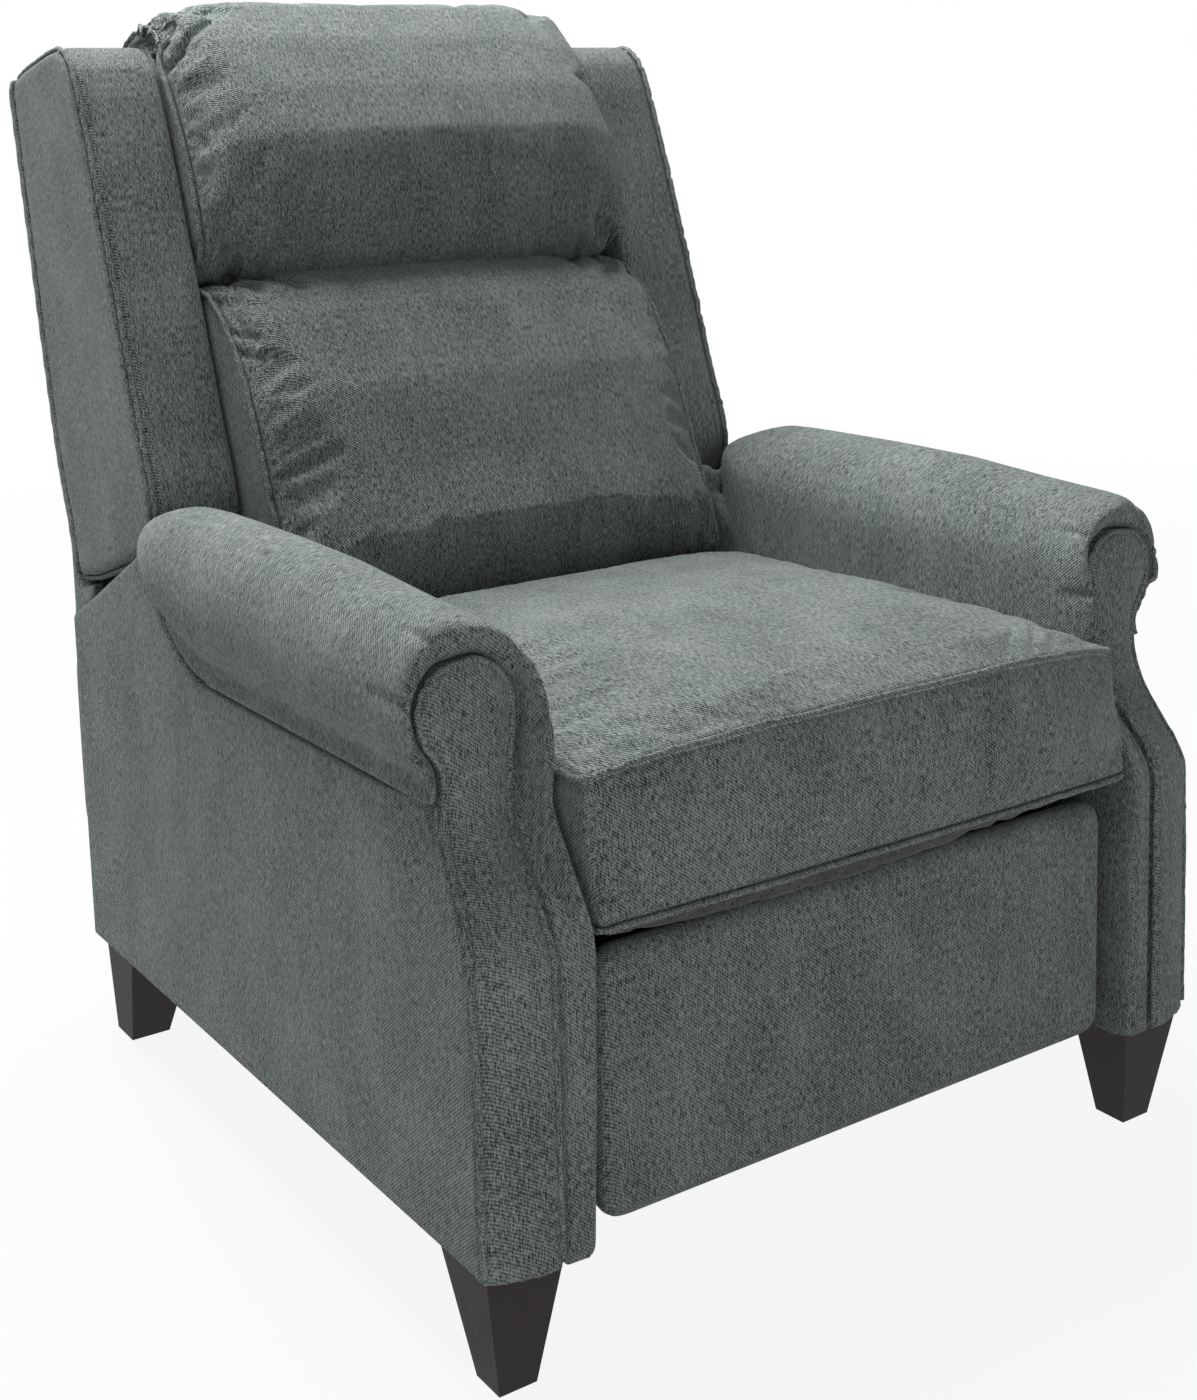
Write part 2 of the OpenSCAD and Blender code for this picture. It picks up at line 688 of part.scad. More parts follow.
module drive_crank() {
    x = layer(5);
    color(steel) place() difference() {
        union() {
            bar(x, crank_p, lift_p);
            bar(x, lift_p, tilt_low);
            eyes(x, [crank_p, lift_p, tilt_low]);
            rivet(tilt_low, x, 6);
        }
        holes(x, [crank_p, lift_p]);
    }
}

module crank_tube() {
    color(steel) place() difference() {
        pin(tube_p, -layer(5), layer(5), tube_d);
        pin(tube_p, -layer(5) - 1, layer(5) + 1, tube_d - 4);
    }
}

module guide_crank() {
    x = layer(3);
    color(steel) place() difference() {
        union() {
            bar(x, guide_p, guide_low);
            eyes(x, [guide_p, guide_low]);
            rivet(guide_low, x, 4);
        }
        holes(x, [guide_p]);
    }
}

module lift_link() {
    x = layer(4);
    color(steel) place() difference() {
        union() {
            bar(x, guide_low, lift_p);
            bar(x, lift_p, foot_p);
            eyes(x, [guide_low, lift_p, foot_p]);
            rivet(lift_p, x, 5);
        }
        holes(x, [guide_low, foot_p]);
    }
}

module tilt_link() {
    x = layer(6);
    color(steel) place() difference() {
        union() {
            bar(x, tilt_low, tilt_high);
            eyes(x, [tilt_low, tilt_high]);
        }
        holes(x, [tilt_low, tilt_high]);
    }
}

foot_z = base_z + 6;
foot_back = foot_set + foot_pad_t + foot_board_t;
x_board = layer(6) - 6;

module foot_bracket() {
    x = layer(5);
    y = foot_back + 0.3;
    low = tilt_high[1] - 100;
    color(steel) place() {
        plate(x, link_t) polygon([[y, low], [y + 14, low], tilt_high + [12, -12], tilt_high + [12, 4], foot_p + [11, 8],
                                  foot_p + [-6, 12], [y, tilt_high[1] + 30]]);
        translate([x_board - 40, y, low]) cube([x + link_t - x_board + 40, 3, 60]);
        rivet(foot_p, x, 4);
        rivet(tilt_high, x, 6);
    }
}

module foot_board() {
    color(pine) place() translate([-x_board, foot_set + foot_pad_t + 0.3, foot_z + 12])
        cube([2 * x_board, foot_board_t - 0.3, foot_h - 24]);
}

module foot_pad() {
    half = x_arm - foot_gap;
    t = foot_pad_t;
    y = foot_set;
    steps = [[y + t, 6], [y + t - 8, 0], [y + 10, 0], [y + 3, 4], [y, 13]];
    rings = [for (s = steps) [for (c = [[1, 1], [-1, 1], [-1, -1], [1, -1]]) for (a = [0:22.5:90])
             let (r = 20 - s[1] * 0.5, turn = atan2(c[1], c[0]) - 45 + a)
             [c[0] * (half - 20) + (r - s[1] * 0.5) * cos(turn), s[0],
              foot_z + foot_h / 2 + c[1] * (foot_h / 2 - 20) + (r - s[1] * 0.5) * sin(turn)]]];
    color(fabric) place() loft(rings);
}

// Every piece by its own name; the right-hand ones are mirrored copies

module left_leg_front() {
    leg_front();
}

module right_leg_front() {
    right() leg_front();
}

module left_leg_rear() {
    leg_rear();
}

module right_leg_rear() {
    right() leg_rear();
}

module left_arm_frame() {
    arm_frame();
}

module right_arm_frame() {
    right() arm_frame();
}

module left_side_panel() {
    side_panel();
}

module right_side_panel() {
    right() side_panel();
}

module left_inner_arm() {
    inner_arm();
}

module right_inner_arm() {
    right() inner_arm();
}

module left_arm_roll() {
    arm_roll();
}

module right_arm_roll() {
    right() arm_roll();
}

module left_arm_front() {
    arm_front();
}

module right_arm_front() {
    right() arm_front();
}

module left_arm_border() {
    arm_border();
}

module right_arm_border() {
    right() arm_border();
}

module left_base_plate() {
    base_plate();
}

module right_base_plate() {
    right() base_plate();
}

module left_front_rocker() {
    rocker(front_base_p, front_seat_p);
}

module right_front_rocker() {
    right() rocker(front_base_p, front_seat_p);
}

module left_rear_rocker() {
    rocker(rear_base_p, rear_seat_p);
}

module right_rear_rocker() {
    right() rocker(rear_base_p, rear_seat_p);
}

module left_seat_rail() {
    seat_rail();
}

module right_seat_rail() {
    right() seat_rail();
}

module left_wing() {
    wing();
}

module right_wing() {
    right() wing();
}

module left_back_bracket() {
    back_bracket();
}

module right_back_bracket() {
    right() back_bracket();
}

module left_drive_crank() {
    drive_crank();
}

module right_drive_crank() {
    right() drive_crank();
}

module left_guide_crank() {
    guide_crank();
}

module right_guide_crank() {
    right() guide_crank();
}

module left_lift_link() {
    lift_link();
}

module right_lift_link() {
    right() lift_link();
}

module left_tilt_link() {
    tilt_link();
}

module right_tilt_link() {
    right() tilt_link();
}

module left_foot_bracket() {
    foot_bracket();
}

module right_foot_bracket() {
    right() foot_bracket();
}

left_leg_front();
right_leg_front();
left_leg_rear();
right_leg_rear();
leg_bolts();
glides();
left_arm_frame();
right_arm_frame();
left_side_panel();
right_side_panel();
left_inner_arm();
right_inner_arm();
left_arm_roll();
right_arm_roll();
left_arm_front();
right_arm_front();
left_arm_border();
right_arm_border();
front_rail();
rear_rail();
dust_cover();
left_base_plate();
right_base_plate();
base_bolts();
left_front_rocker();
right_front_rocker();
rocker_tube();
left_rear_rocker();
right_rear_rocker();
seat_frame();
seat_springs();
seat_deck();
seat_cushion();
left_seat_rail();
right_seat_rail();
seat_screws();
back_frame();
inner_back();
outside_back();
left_wing();
right_wing();
head_pillow();
lumbar_pillow();
left_back_bracket();
right_back_bracket();
back_bolts();
left_drive_crank();
right_drive_crank();
crank_tube();
left_guide_crank();
right_guide_crank();
left_lift_link();
right_lift_link();
left_tilt_link();
right_tilt_link();
left_foot_bracket();
right_foot_bracket();
foot_board();
foot_pad();
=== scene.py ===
# %% [markdown]
# A push-back recliner with wings and rolled arms, dressed over its CAD frame. The frame brings
# every piece in its real place, so each cell below only has to answer one question: what does
# this piece look like on the real chair, and which of Blender's tools makes that look? Wood and
# steel keep their CAD shape and get a material. Everything that is upholstered is built again
# as a soft mesh that stands in for its plain CAD solid.

# %% Load the frame
import json
import math

import bmesh
import bpy
from mathutils import Matrix, Vector, noise
from mathutils.bvhtree import BVHTree
from mathutils.kdtree import KDTree


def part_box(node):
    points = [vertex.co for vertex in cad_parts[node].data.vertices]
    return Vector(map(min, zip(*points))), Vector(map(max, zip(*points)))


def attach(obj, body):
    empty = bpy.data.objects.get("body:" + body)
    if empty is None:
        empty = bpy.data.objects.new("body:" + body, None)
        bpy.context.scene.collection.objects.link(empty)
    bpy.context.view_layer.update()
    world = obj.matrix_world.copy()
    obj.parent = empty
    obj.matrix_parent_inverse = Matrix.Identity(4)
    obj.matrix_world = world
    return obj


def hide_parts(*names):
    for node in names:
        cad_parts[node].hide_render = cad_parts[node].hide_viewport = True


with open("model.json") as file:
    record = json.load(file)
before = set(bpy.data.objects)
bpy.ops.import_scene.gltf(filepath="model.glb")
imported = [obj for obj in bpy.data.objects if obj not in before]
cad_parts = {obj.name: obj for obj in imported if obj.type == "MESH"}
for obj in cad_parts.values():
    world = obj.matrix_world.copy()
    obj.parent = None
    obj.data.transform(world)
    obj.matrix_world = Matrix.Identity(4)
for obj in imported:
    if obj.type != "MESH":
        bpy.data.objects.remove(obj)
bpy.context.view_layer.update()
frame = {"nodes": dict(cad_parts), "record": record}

# %% [markdown]
# An upholsterer measures from the front of the arms, so this lesson does too. The side panels
# are 838 mm deep and end at a known place, which gives the front plane in the frame. With it,
# `at` turns a millimetre point into Blender's metres. The back leans, so points on it are easier
# to give as a height up the slope and a distance in front of it. Padding swells and fades softly,
# and `eased` is the curve for that.

# %% Places on the chair
MM = 0.001
SIDE_DEPTH = 838 * MM
front_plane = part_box("left_side_panel")[1].y - SIDE_DEPTH
RAKE = math.radians(22.5)
BACK_FOOT = (745, 520)


def at(x, y, z):
    return Vector((x * MM, y * MM + front_plane, z * MM))


def on_back(x, up, out):
    """A point at a height up the slope of the back, and a distance in front of it."""
    y = BACK_FOOT[0] + up * math.sin(RAKE) - out * math.cos(RAKE)
    z = BACK_FOOT[1] + up * math.cos(RAKE) + out * math.sin(RAKE)
    return at(x, y, z)


def eased(value):
    """A share from 0 to 1 that starts and ends softly."""
    share = min(1.0, max(0.0, value))
    return share * share * (3 - 2 * share)


print("front plane at y =", round(front_plane, 4))

# %% [markdown]
# The floor is a plain pale sheet and the light is that of a soft studio: one broad lamp overhead,
# a weaker one low in front, and a dim surround. Light from above is what models this chair,
# because the tops of the arms and of the seat are bright and every overhang is dark. The camera
# and reflections see a white surround and a nearly white floor, so that the background is pale
# without adding light to the fabric, and the floor still shows the chair's shadow. Away from the
# chair the floor turns quite white, so that no line shows where it ends.

# %% Floor, lamps and world
scene = bpy.context.scene
scene.view_settings.view_transform = "Standard"


def seen_directly(nodes, links):
    """1 for camera, glossy and transmission rays, and 0 for the rays that carry light."""
    path = nodes.new("ShaderNodeLightPath")
    seen = path.outputs["Is Camera Ray"]
    for label in ("Is Glossy Ray", "Is Transmission Ray"):
        either = nodes.new("ShaderNodeMath")
        either.operation = "MAXIMUM"
        links.new(seen, either.inputs[0])
        links.new(path.outputs[label], either.inputs[1])
        seen = either.outputs[0]
    return seen


def mix_shaders(nodes, links, share, lit, seen):
    mix = nodes.new("ShaderNodeMixShader")
    links.new(share, mix.inputs[0])
    links.new(lit, mix.inputs[1])
    links.new(seen, mix.inputs[2])
    return mix.outputs[0]


SURROUND, SURROUND_TINT = 0.31, (0.95, 0.98, 1.0, 1)
WHITE = (1, 1, 1, 1)
world = bpy.data.worlds.new("studio")
scene.world = world
world.use_nodes = True
nodes, links = world.node_tree.nodes, world.node_tree.links
nodes.clear()
white = nodes.new("ShaderNodeBackground")
white.inputs["Color"].default_value = WHITE
surround = nodes.new("ShaderNodeBackground")
surround.inputs["Color"].default_value = SURROUND_TINT
surround.inputs["Strength"].default_value = SURROUND
out = nodes.new("ShaderNodeOutputWorld")
both = mix_shaders(nodes, links, seen_directly(nodes, links), surround.outputs[0], white.outputs[0])
links.new(both, out.inputs["Surface"])


def lamp(name, place, aim, size, watts):
    data = bpy.data.lights.new(name, "AREA")
    data.shape = "DISK"
    data.size = size
    data.energy = watts
    obj = bpy.data.objects.new(name, data)
    obj.location = place
    obj.rotation_euler = (Vector(aim) - Vector(place)).to_track_quat("-Z", "Y").to_euler()
    scene.collection.objects.link(obj)


lamp("key_lamp", (-0.35, 1.05, 3.0), aim=(0, 0, 0.5), size=1.9, watts=145)
lamp("front_lamp", (-0.8, -2.7, 0.6), aim=(0, 0, 0.4), size=1.2, watts=11)

FLOOR_HALF, FLOOR_GREY = 30.0, (0.55, 0.55, 0.55, 1)
FLOOR_SEEN_WHITE = 0.90
WHITE_FROM, WHITE_TO = 1.0, 4.0
floor_mesh = bpy.data.meshes.new("floor")
sheet = bmesh.new()
bmesh.ops.create_grid(sheet, x_segments=1, y_segments=1, size=FLOOR_HALF)
sheet.to_mesh(floor_mesh)
sheet.free()
floor = bpy.data.objects.new("floor", floor_mesh)
scene.collection.objects.link(floor)
floor_finish = bpy.data.materials.new("pale_floor")
floor_finish.use_nodes = True
nodes, links = floor_finish.node_tree.nodes, floor_finish.node_tree.links
pale = nodes["Principled BSDF"]
pale.inputs["Base Color"].default_value = FLOOR_GREY
pale.inputs["Roughness"].default_value = 0.9
pale.inputs["Specular IOR Level"].default_value = 0.1
glow = nodes.new("ShaderNodeEmission")
from_chair = nodes.new("ShaderNodeVectorMath")
from_chair.operation = "LENGTH"
links.new(nodes.new("ShaderNodeTexCoord").outputs["Object"], from_chair.inputs[0])
whiter = nodes.new("ShaderNodeMapRange")
links.new(from_chair.outputs["Value"], whiter.inputs["Value"])
for label, number in (("From Min", WHITE_FROM), ("From Max", WHITE_TO),
                      ("To Min", FLOOR_SEEN_WHITE), ("To Max", 1.0)):
    whiter.inputs[label].default_value = number
share = nodes.new("ShaderNodeMath")
share.operation = "MULTIPLY"
links.new(whiter.outputs[0], share.inputs[1])
links.new(seen_directly(nodes, links), share.inputs[0])
links.new(mix_shaders(nodes, links, share.outputs[0], pale.outputs[0], glow.outputs[0]),
          nodes["Material Output"].inputs["Surface"])
floor_mesh.materials.append(floor_finish)
print("floor and lamps are ready")

# %% [markdown]
# The camera stands where the photographer stood: 1.7 m in front of the chair and to its right,
# at chest height, turned 34 degrees and looking down by 8.5 degrees. Its lens and a small
# vertical shift come from the same fit to the chair's straight edges.

# %% Camera
CAMERA_PLACE = (-1060.8, -1164.2, 962.1)
TURN, TILT, ROLL = math.radians(33.915), math.radians(8.481), math.radians(-1.529)
FOCAL_PIXELS, FRAME_LONG_SIDE, SENSOR = 1977.78, 1400, 36.0
AXIS_ABOVE_MIDDLE = 279.94

ahead = Vector((math.sin(TURN) * math.cos(TILT), math.cos(TURN) * math.cos(TILT), -math.sin(TILT)))
level = Vector((math.cos(TURN), -math.sin(TURN), 0))
upright = level.cross(ahead)
right_side = level * math.cos(ROLL) + upright * math.sin(ROLL)
up_side = upright * math.cos(ROLL) - level * math.sin(ROLL)
lens = bpy.data.cameras.new("camera")
lens.sensor_width = SENSOR
lens.lens = FOCAL_PIXELS / FRAME_LONG_SIDE * SENSOR
lens.shift_y = -AXIS_ABOVE_MIDDLE / FRAME_LONG_SIDE
camera = bpy.data.objects.new("camera", lens)
turn = Matrix((right_side, up_side, -ahead)).transposed()
camera.matrix_world = Matrix.Translation(at(*CAMERA_PLACE)) @ turn.to_4x4()
scene.collection.objects.link(camera)
scene.camera = camera
print("lens", round(lens.lens, 2), "mm")

# %% [markdown]
# Chenille is woven with a fat, furry yarn one way and thin binding yarns the other way. Seen
# close, it has a fine slanting twill and a worm-like grain; seen from a step away, it has short
# dark and light dashes along the warp, where the fat yarn varies. One node group makes them all
# from the piece's own cloth map, which is in metres, so that the pattern follows the surface and
# keeps its real scale.

# %% The chenille weave as a node group
STREAK_WIDTH, STREAK_LENGTH = 1.2 * MM, 6 * MM
BAND_WIDTH, BAND_LENGTH = 4 * MM, 60 * MM
FLECK_WIDTH, FLECK_LENGTH = 1.1 * MM, 15 * MM
GRAIN = 1.1 * MM
TWILL_STEP = 2.4 * MM
TWILL_SLANT = math.radians(40)
PATCH = 75 * MM
COOLEST = 0.45


def group(name, inputs, outputs):
    made = bpy.data.node_groups.new(name, "ShaderNodeTree")
    for label, kind, value in inputs:
        socket = made.interface.new_socket(label, in_out="INPUT", socket_type=kind)
        if value is not None:
            socket.default_value = value
    for label, kind in outputs:
        made.interface.new_socket(label, in_out="OUTPUT", socket_type=kind)
    return made, made.nodes.new("NodeGroupInput"), made.nodes.new("NodeGroupOutput")


def node(tree, kind, settings=None, **sockets):
    """A node with its settings and sockets: a value is set, and another node's socket is linked."""
    made = tree.nodes.new(kind)
    for name, value in (settings or {}).items():
        setattr(made, name, value)
    for name, value in sockets.items():
        numbered = name[0] == "i" and name[1:].isdigit()
        socket = made.inputs[int(name[1:]) if numbered else name]
        if isinstance(value, bpy.types.NodeSocket):
            tree.links.new(value, socket)
        else:
            socket.default_value = value
    return made


def stretched_noise(tree, cloth, wide, tall, detail=2.0, rough=0.5):
    placed = node(tree, "ShaderNodeMapping", Vector=cloth, Scale=(1 / wide, 1 / tall, 1 / wide))
    return node(tree, "ShaderNodeTexNoise", Vector=placed.outputs[0], Scale=1.0, Detail=detail,
                Roughness=rough).outputs["Fac"]


def blend(tree, kind, factor, a, b):
    made = node(tree, "ShaderNodeMix", {"data_type": "RGBA", "blend_type": kind})
    for socket, value in ((made.inputs[0], factor), (made.inputs[6], a), (made.inputs[7], b)):
        if isinstance(value, bpy.types.NodeSocket):
            tree.links.new(value, socket)
        else:
            socket.default_value = value
    return made.outputs[2]


def maths(tree, kind, a, b=0.0):
    return node(tree, "ShaderNodeMath", {"operation": kind}, i0=a, i1=b).outputs[0]


def spread(tree, value, low, high, to_low=0.0, to_high=1.0):
    made = node(tree, "ShaderNodeMapRange", Value=value)
    for label, number in (("From Min", low), ("From Max", high),
                          ("To Min", to_low), ("To Max", to_high)):
        made.inputs[label].default_value = number
    return made.outputs[0]


weave, weave_in, weave_out = group(
    "chenille_weave",
    [("Cloth", "NodeSocketVector", None), ("Dark", "NodeSocketColor", None),
     ("Light", "NodeSocketColor", None), ("Cool", "NodeSocketColor", None)],
    [("Color", "NodeSocketColor"), ("Height", "NodeSocketFloat")])
cloth = weave_in.outputs["Cloth"]
streak = stretched_noise(weave, cloth, STREAK_WIDTH, STREAK_LENGTH, 3.0, 0.7)
band = stretched_noise(weave, cloth, BAND_WIDTH, BAND_LENGTH, 2.0)
fleck = stretched_noise(weave, cloth, FLECK_WIDTH, FLECK_LENGTH, 1.0)
grain = stretched_noise(weave, cloth, GRAIN, GRAIN * 1.3, 1.0)
patch = stretched_noise(weave, cloth, PATCH, PATCH * 1.5, 2.0)
tint = stretched_noise(weave, cloth, PATCH * 0.6, PATCH, 3.0)
slant = node(weave, "ShaderNodeMapping", Vector=cloth, Rotation=(0, 0, TWILL_SLANT),
             Scale=(1 / TWILL_STEP, 1 / TWILL_STEP, 1 / TWILL_STEP))
twill = node(weave, "ShaderNodeTexWave", {"wave_type": "BANDS", "bands_direction": "Y"},
             Vector=slant.outputs[0], Scale=0.314, Distortion=1.2, Detail=1.0).outputs["Fac"]
# Each row is a pattern, the range of it that counts, and the tone at the two ends of that range.
TONES = ((streak, 0.36, 0.64, -0.50, 0.50), (band, 0.3, 0.7, -0.11, 0.11),
         (fleck, 0.60, 0.72, 0.0, -0.50), (fleck, 0.38, 0.28, 0.0, 0.34),
         (grain, 0.30, 0.70, -0.25, 0.25), (patch, 0.3, 0.7, -0.10, 0.10),
         (twill, 0.0, 1.0, -0.24, 0.24))
tone = 0.5
for pattern, *ends in TONES:
    tone = maths(weave, "ADD", spread(weave, pattern, *ends), tone)
tone = node(weave, "ShaderNodeClamp", Value=tone).outputs[0]
colour = blend(weave, "MIX", tone, weave_in.outputs["Dark"], weave_in.outputs["Light"])
cooled = blend(weave, "MULTIPLY", 1.0, colour, weave_in.outputs["Cool"])
colour = blend(weave, "MIX", spread(weave, tint, 0.45, 0.7, 0.0, COOLEST), colour, cooled)
height = maths(weave, "ADD", maths(weave, "MULTIPLY", twill, 0.55), maths(weave, "MULTIPLY", streak, 0.9))
height = maths(weave, "SUBTRACT", height, maths(weave, "MULTIPLY", fleck, 0.5))
weave.links.new(colour, weave_out.inputs["Color"])
weave.links.new(height, weave_out.inputs["Height"])
print("weave group with", len(weave.nodes), "nodes")

# %% [markdown]
# The cloth's material puts the weave on a rough surface with some sheen, because the short fur
# of chenille catches light at its edge. The dark and light yarn colours are those that the
# fabric shows under the studio's light. The underside of the seat cushion gets a darker and
# browner copy of the same weave: painted shade, with a warm painted reflection.

# %% The upholstery material
DARK_YARN = (0.026, 0.031, 0.030, 1)
LIGHT_YARN = (0.300, 0.338, 0.310, 1)
COOL_TINT = (0.74, 0.86, 0.90, 1)
# Darker, browner copies of the yarn colours for the cushion's underside: painted shade, with a warm
# painted reflection.
SHADED_UNDERSIDE_DARK, SHADED_UNDERSIDE_LIGHT = (0.030, 0.029, 0.026, 1), (0.110, 0.106, 0.096, 1)
SHEEN, SHEEN_TINT = 0.20, (0.78, 0.84, 0.82, 1)
WEAVE_RELIEF = 1 * MM


def material(name):
    made = bpy.data.materials.new(name)
    made.use_nodes = True
    tree = made.node_tree
    surface = tree.nodes["Principled BSDF"]
    return made, tree, surface


def place_group(tree, kind, **sockets):
    made = tree.nodes.new("ShaderNodeGroup")
    made.node_tree = kind
    for label, value in sockets.items():
        label = label.replace("_", " ")
        if isinstance(value, bpy.types.NodeSocket):
            tree.links.new(value, made.inputs[label])
        else:
            made.inputs[label].default_value = value
    return made


def bump(tree, surface, height, strength, distance):
    made = node(tree, "ShaderNodeBump", Height=height, Strength=strength, Distance=distance)
    tree.links.new(made.outputs[0], surface.inputs["Normal"])


def upholstery(name, dark, light, cool):
    made, tree, surface = material(name)
    uv = node(tree, "ShaderNodeUVMap", {"uv_map": "cloth"})
    woven = place_group(tree, weave, Cloth=uv.outputs[0], Dark=dark, Light=light, Cool=cool)
    tree.links.new(woven.outputs["Color"], surface.inputs["Base Color"])
    surface.inputs["Roughness"].default_value = 0.92
    surface.inputs["Specular IOR Level"].default_value = 0.2
    surface.inputs["Sheen Weight"].default_value = SHEEN
    surface.inputs["Sheen Roughness"].default_value = 0.45
    surface.inputs["Sheen Tint"].default_value = SHEEN_TINT
    bump(tree, surface, woven.outputs["Height"], 0.9, WEAVE_RELIEF)
    return made


chenille = upholstery("chenille", DARK_YARN, LIGHT_YARN, COOL_TINT)
shaded_underside_chenille = upholstery("shaded_underside_chenille", SHADED_UNDERSIDE_DARK, SHADED_UNDERSIDE_LIGHT, COOL_TINT)
print("upholstery material", chenille.name)

# %% [markdown]
# The legs are beech, stained almost black and nearly matt, with a little of the grain left to
# see. The frame inside is bare softwood. Both take their grain from a noise that is stretched
# along the wood. The mechanism is steel in black enamel, with zinc-plated bolts and bare spring
# wire, and the chair stands on nylon glides. Those finishes are a fine mottle of two colours.

# %% Leg wood, frame wood, steel, wire and black cloth
ALONG_LEG, ALONG_BOARD = (1, 1, 0.06), (1, 0.06, 1)
GRAIN_SCALE = 90


def grained_wood(name, dark, light, rough, along, shine):
    made, tree, surface = material(name)
    place = node(tree, "ShaderNodeTexCoord").outputs["Object"]
    laid = node(tree, "ShaderNodeMapping", Vector=place, Scale=[GRAIN_SCALE * a for a in along])
    grain = node(tree, "ShaderNodeTexNoise", Vector=laid.outputs[0], Scale=4.0, Detail=5.0,
                 Roughness=0.65, Distortion=0.4).outputs["Fac"]
    colour = blend(tree, "MIX", spread(tree, grain, 0.35, 0.7), dark, light)
    tree.links.new(colour, surface.inputs["Base Color"])
    roughness = spread(tree, grain, 0.3, 0.7, rough - 0.05, rough + 0.08)
    tree.links.new(roughness, surface.inputs["Roughness"])
    surface.inputs["Specular IOR Level"].default_value = shine
    bump(tree, surface, grain, 0.25, 0.4 * MM)
    return made


def mottled(name, dark, light, metal, rough, cell, relief, coat=0.0):
    made, tree, surface = material(name)
    place = node(tree, "ShaderNodeTexCoord").outputs["Object"]
    spots = node(tree, "ShaderNodeTexNoise", Vector=place, Scale=1 / cell, Detail=4.0,
                 Roughness=0.6).outputs["Fac"]
    colour = blend(tree, "MIX", spread(tree, spots, 0.35, 0.65), dark, light)
    tree.links.new(colour, surface.inputs["Base Color"])
    roughness = spread(tree, spots, 0.3, 0.7, rough - 0.08, rough + 0.08)
    tree.links.new(roughness, surface.inputs["Roughness"])
    surface.inputs["Metallic"].default_value = metal
    surface.inputs["Coat Weight"].default_value = coat
    bump(tree, surface, spots, 0.3, relief)
    return made


leg_wood = grained_wood("espresso_beech", (0.006, 0.004, 0.003, 1), (0.015, 0.010, 0.008, 1),
                        rough=0.6, along=ALONG_LEG, shine=0.3)
frame_wood = grained_wood("bare_softwood", (0.42, 0.27, 0.13, 1), (0.66, 0.48, 0.27, 1),
                          rough=0.7, along=ALONG_BOARD, shine=0.5)
enamel = mottled("black_enamel", (0.012, 0.012, 0.013, 1), (0.03, 0.03, 0.032, 1),
                 metal=0.0, rough=0.38, cell=4 * MM, relief=0.2 * MM, coat=0.3)
zinc = mottled("zinc_plate", (0.42, 0.42, 0.40, 1), (0.66, 0.66, 0.62, 1),
               metal=1.0, rough=0.34, cell=3 * MM, relief=0.1 * MM)
wire = mottled("spring_wire", (0.10, 0.095, 0.09, 1), (0.2, 0.19, 0.17, 1),
               metal=1.0, rough=0.4, cell=3 * MM, relief=0.1 * MM)
lining = mottled("black_lining", (0.008, 0.008, 0.009, 1), (0.03, 0.03, 0.032, 1),
                 metal=0.0, rough=0.9, cell=1.6 * MM, relief=0.4 * MM)
nylon = mottled("black_nylon", (0.008, 0.008, 0.008, 1), (0.02, 0.02, 0.02, 1),
                metal=0.0, rough=0.5, cell=2 * MM, relief=0.1 * MM)

FINISHES = {"leg_wood": leg_wood, "frame_wood": frame_wood, "mechanism_steel": enamel, "bolt_steel": zinc,
            "spring_steel": wire, "black_cloth": lining, "glide_plastic": nylon, "upholstery": chenille}
for row in frame["record"]["subparts"]:
    shell = frame["nodes"][row["node"]]
    shell.data.materials.clear()
    shell.data.materials.append(FINISHES[row["material_slot"]])
print(len(FINISHES), "finishes on", len(frame["nodes"]), "CAD nodes")

# %% [markdown]
# Each soft piece starts from its CAD solid. A copy is merged and remeshed into even squares of a
# few millimetres, which round its edges as padding does, and is then smoothed. The copy stands
# for the CAD node, so the node itself is hidden.

# %% From a CAD solid to a soft mesh
def new_piece(name, mesh):
    piece = bpy.data.objects.new(name, mesh)
    scene.collection.objects.link(piece)
    return piece


def cad_copy(name, *node_names):
    """One mesh with the merged solids of the named CAD nodes."""
    mesh = bpy.data.meshes.new(name)
    form = bmesh.new()
    for node_name in node_names:
        form.from_mesh(frame["nodes"][node_name].data)
    bmesh.ops.remove_doubles(form, verts=form.verts, dist=0.00002)
    form.to_mesh(mesh)
    form.free()
    return new_piece(name, mesh)


def bake(piece):
    """Applies the piece's modifiers."""
    ready = piece.evaluated_get(bpy.context.evaluated_depsgraph_get())
    mesh = bpy.data.meshes.new_from_object(ready)
    piece.modifiers.clear()
    old = piece.data
    piece.data = mesh
    bpy.data.meshes.remove(old)
    mesh.name = piece.name


def soften(piece, voxel, rounds):
    remesh = piece.modifiers.new("even squares", "REMESH")
    remesh.mode = "VOXEL"
    remesh.voxel_size = voxel * 1.0
    remesh.use_smooth_shade = True
    smooth = piece.modifiers.new("padding", "SMOOTH")
    smooth.factor = 0.5
    smooth.iterations = rounds
    bake(piece)


def soft_piece(name, *node_names, voxel=5 * MM, rounds=6):
    piece = cad_copy(name, *node_names)
    soften(piece, voxel, rounds)
    return piece


print("helpers for soft pieces are ready")

# %% [markdown]
# The cloth map is laid as a cutter lays it, in metres: the warp runs up the front and sides and
# from front to back over the top. A face that looks to the side takes its depth and height, and
# any other takes its width and the length of cloth up and over. A cushion is round, so its cloth
# is wrapped: the length is measured along the cushion's middle section, and every face keeps the
# pattern's scale. The cloth of an arm runs round the roll, and over the band at its front.

# %% The cloth map
ROLL_MIDDLE, ROLL_RADIUS = (351, 542), 62
# A face looks to one side when more than this of its normal does.
SIDEWAYS = 0.72
UNDERSIDE = -0.3
WRAP_STEPS = 180
MIDDLE_SECTION = 12 * MM


def leant(p, lean):
    """How far back and how far up a point lies, measured along a lean."""
    return p.y * math.cos(lean) - p.z * math.sin(lean), p.z * math.cos(lean) + p.y * math.sin(lean)


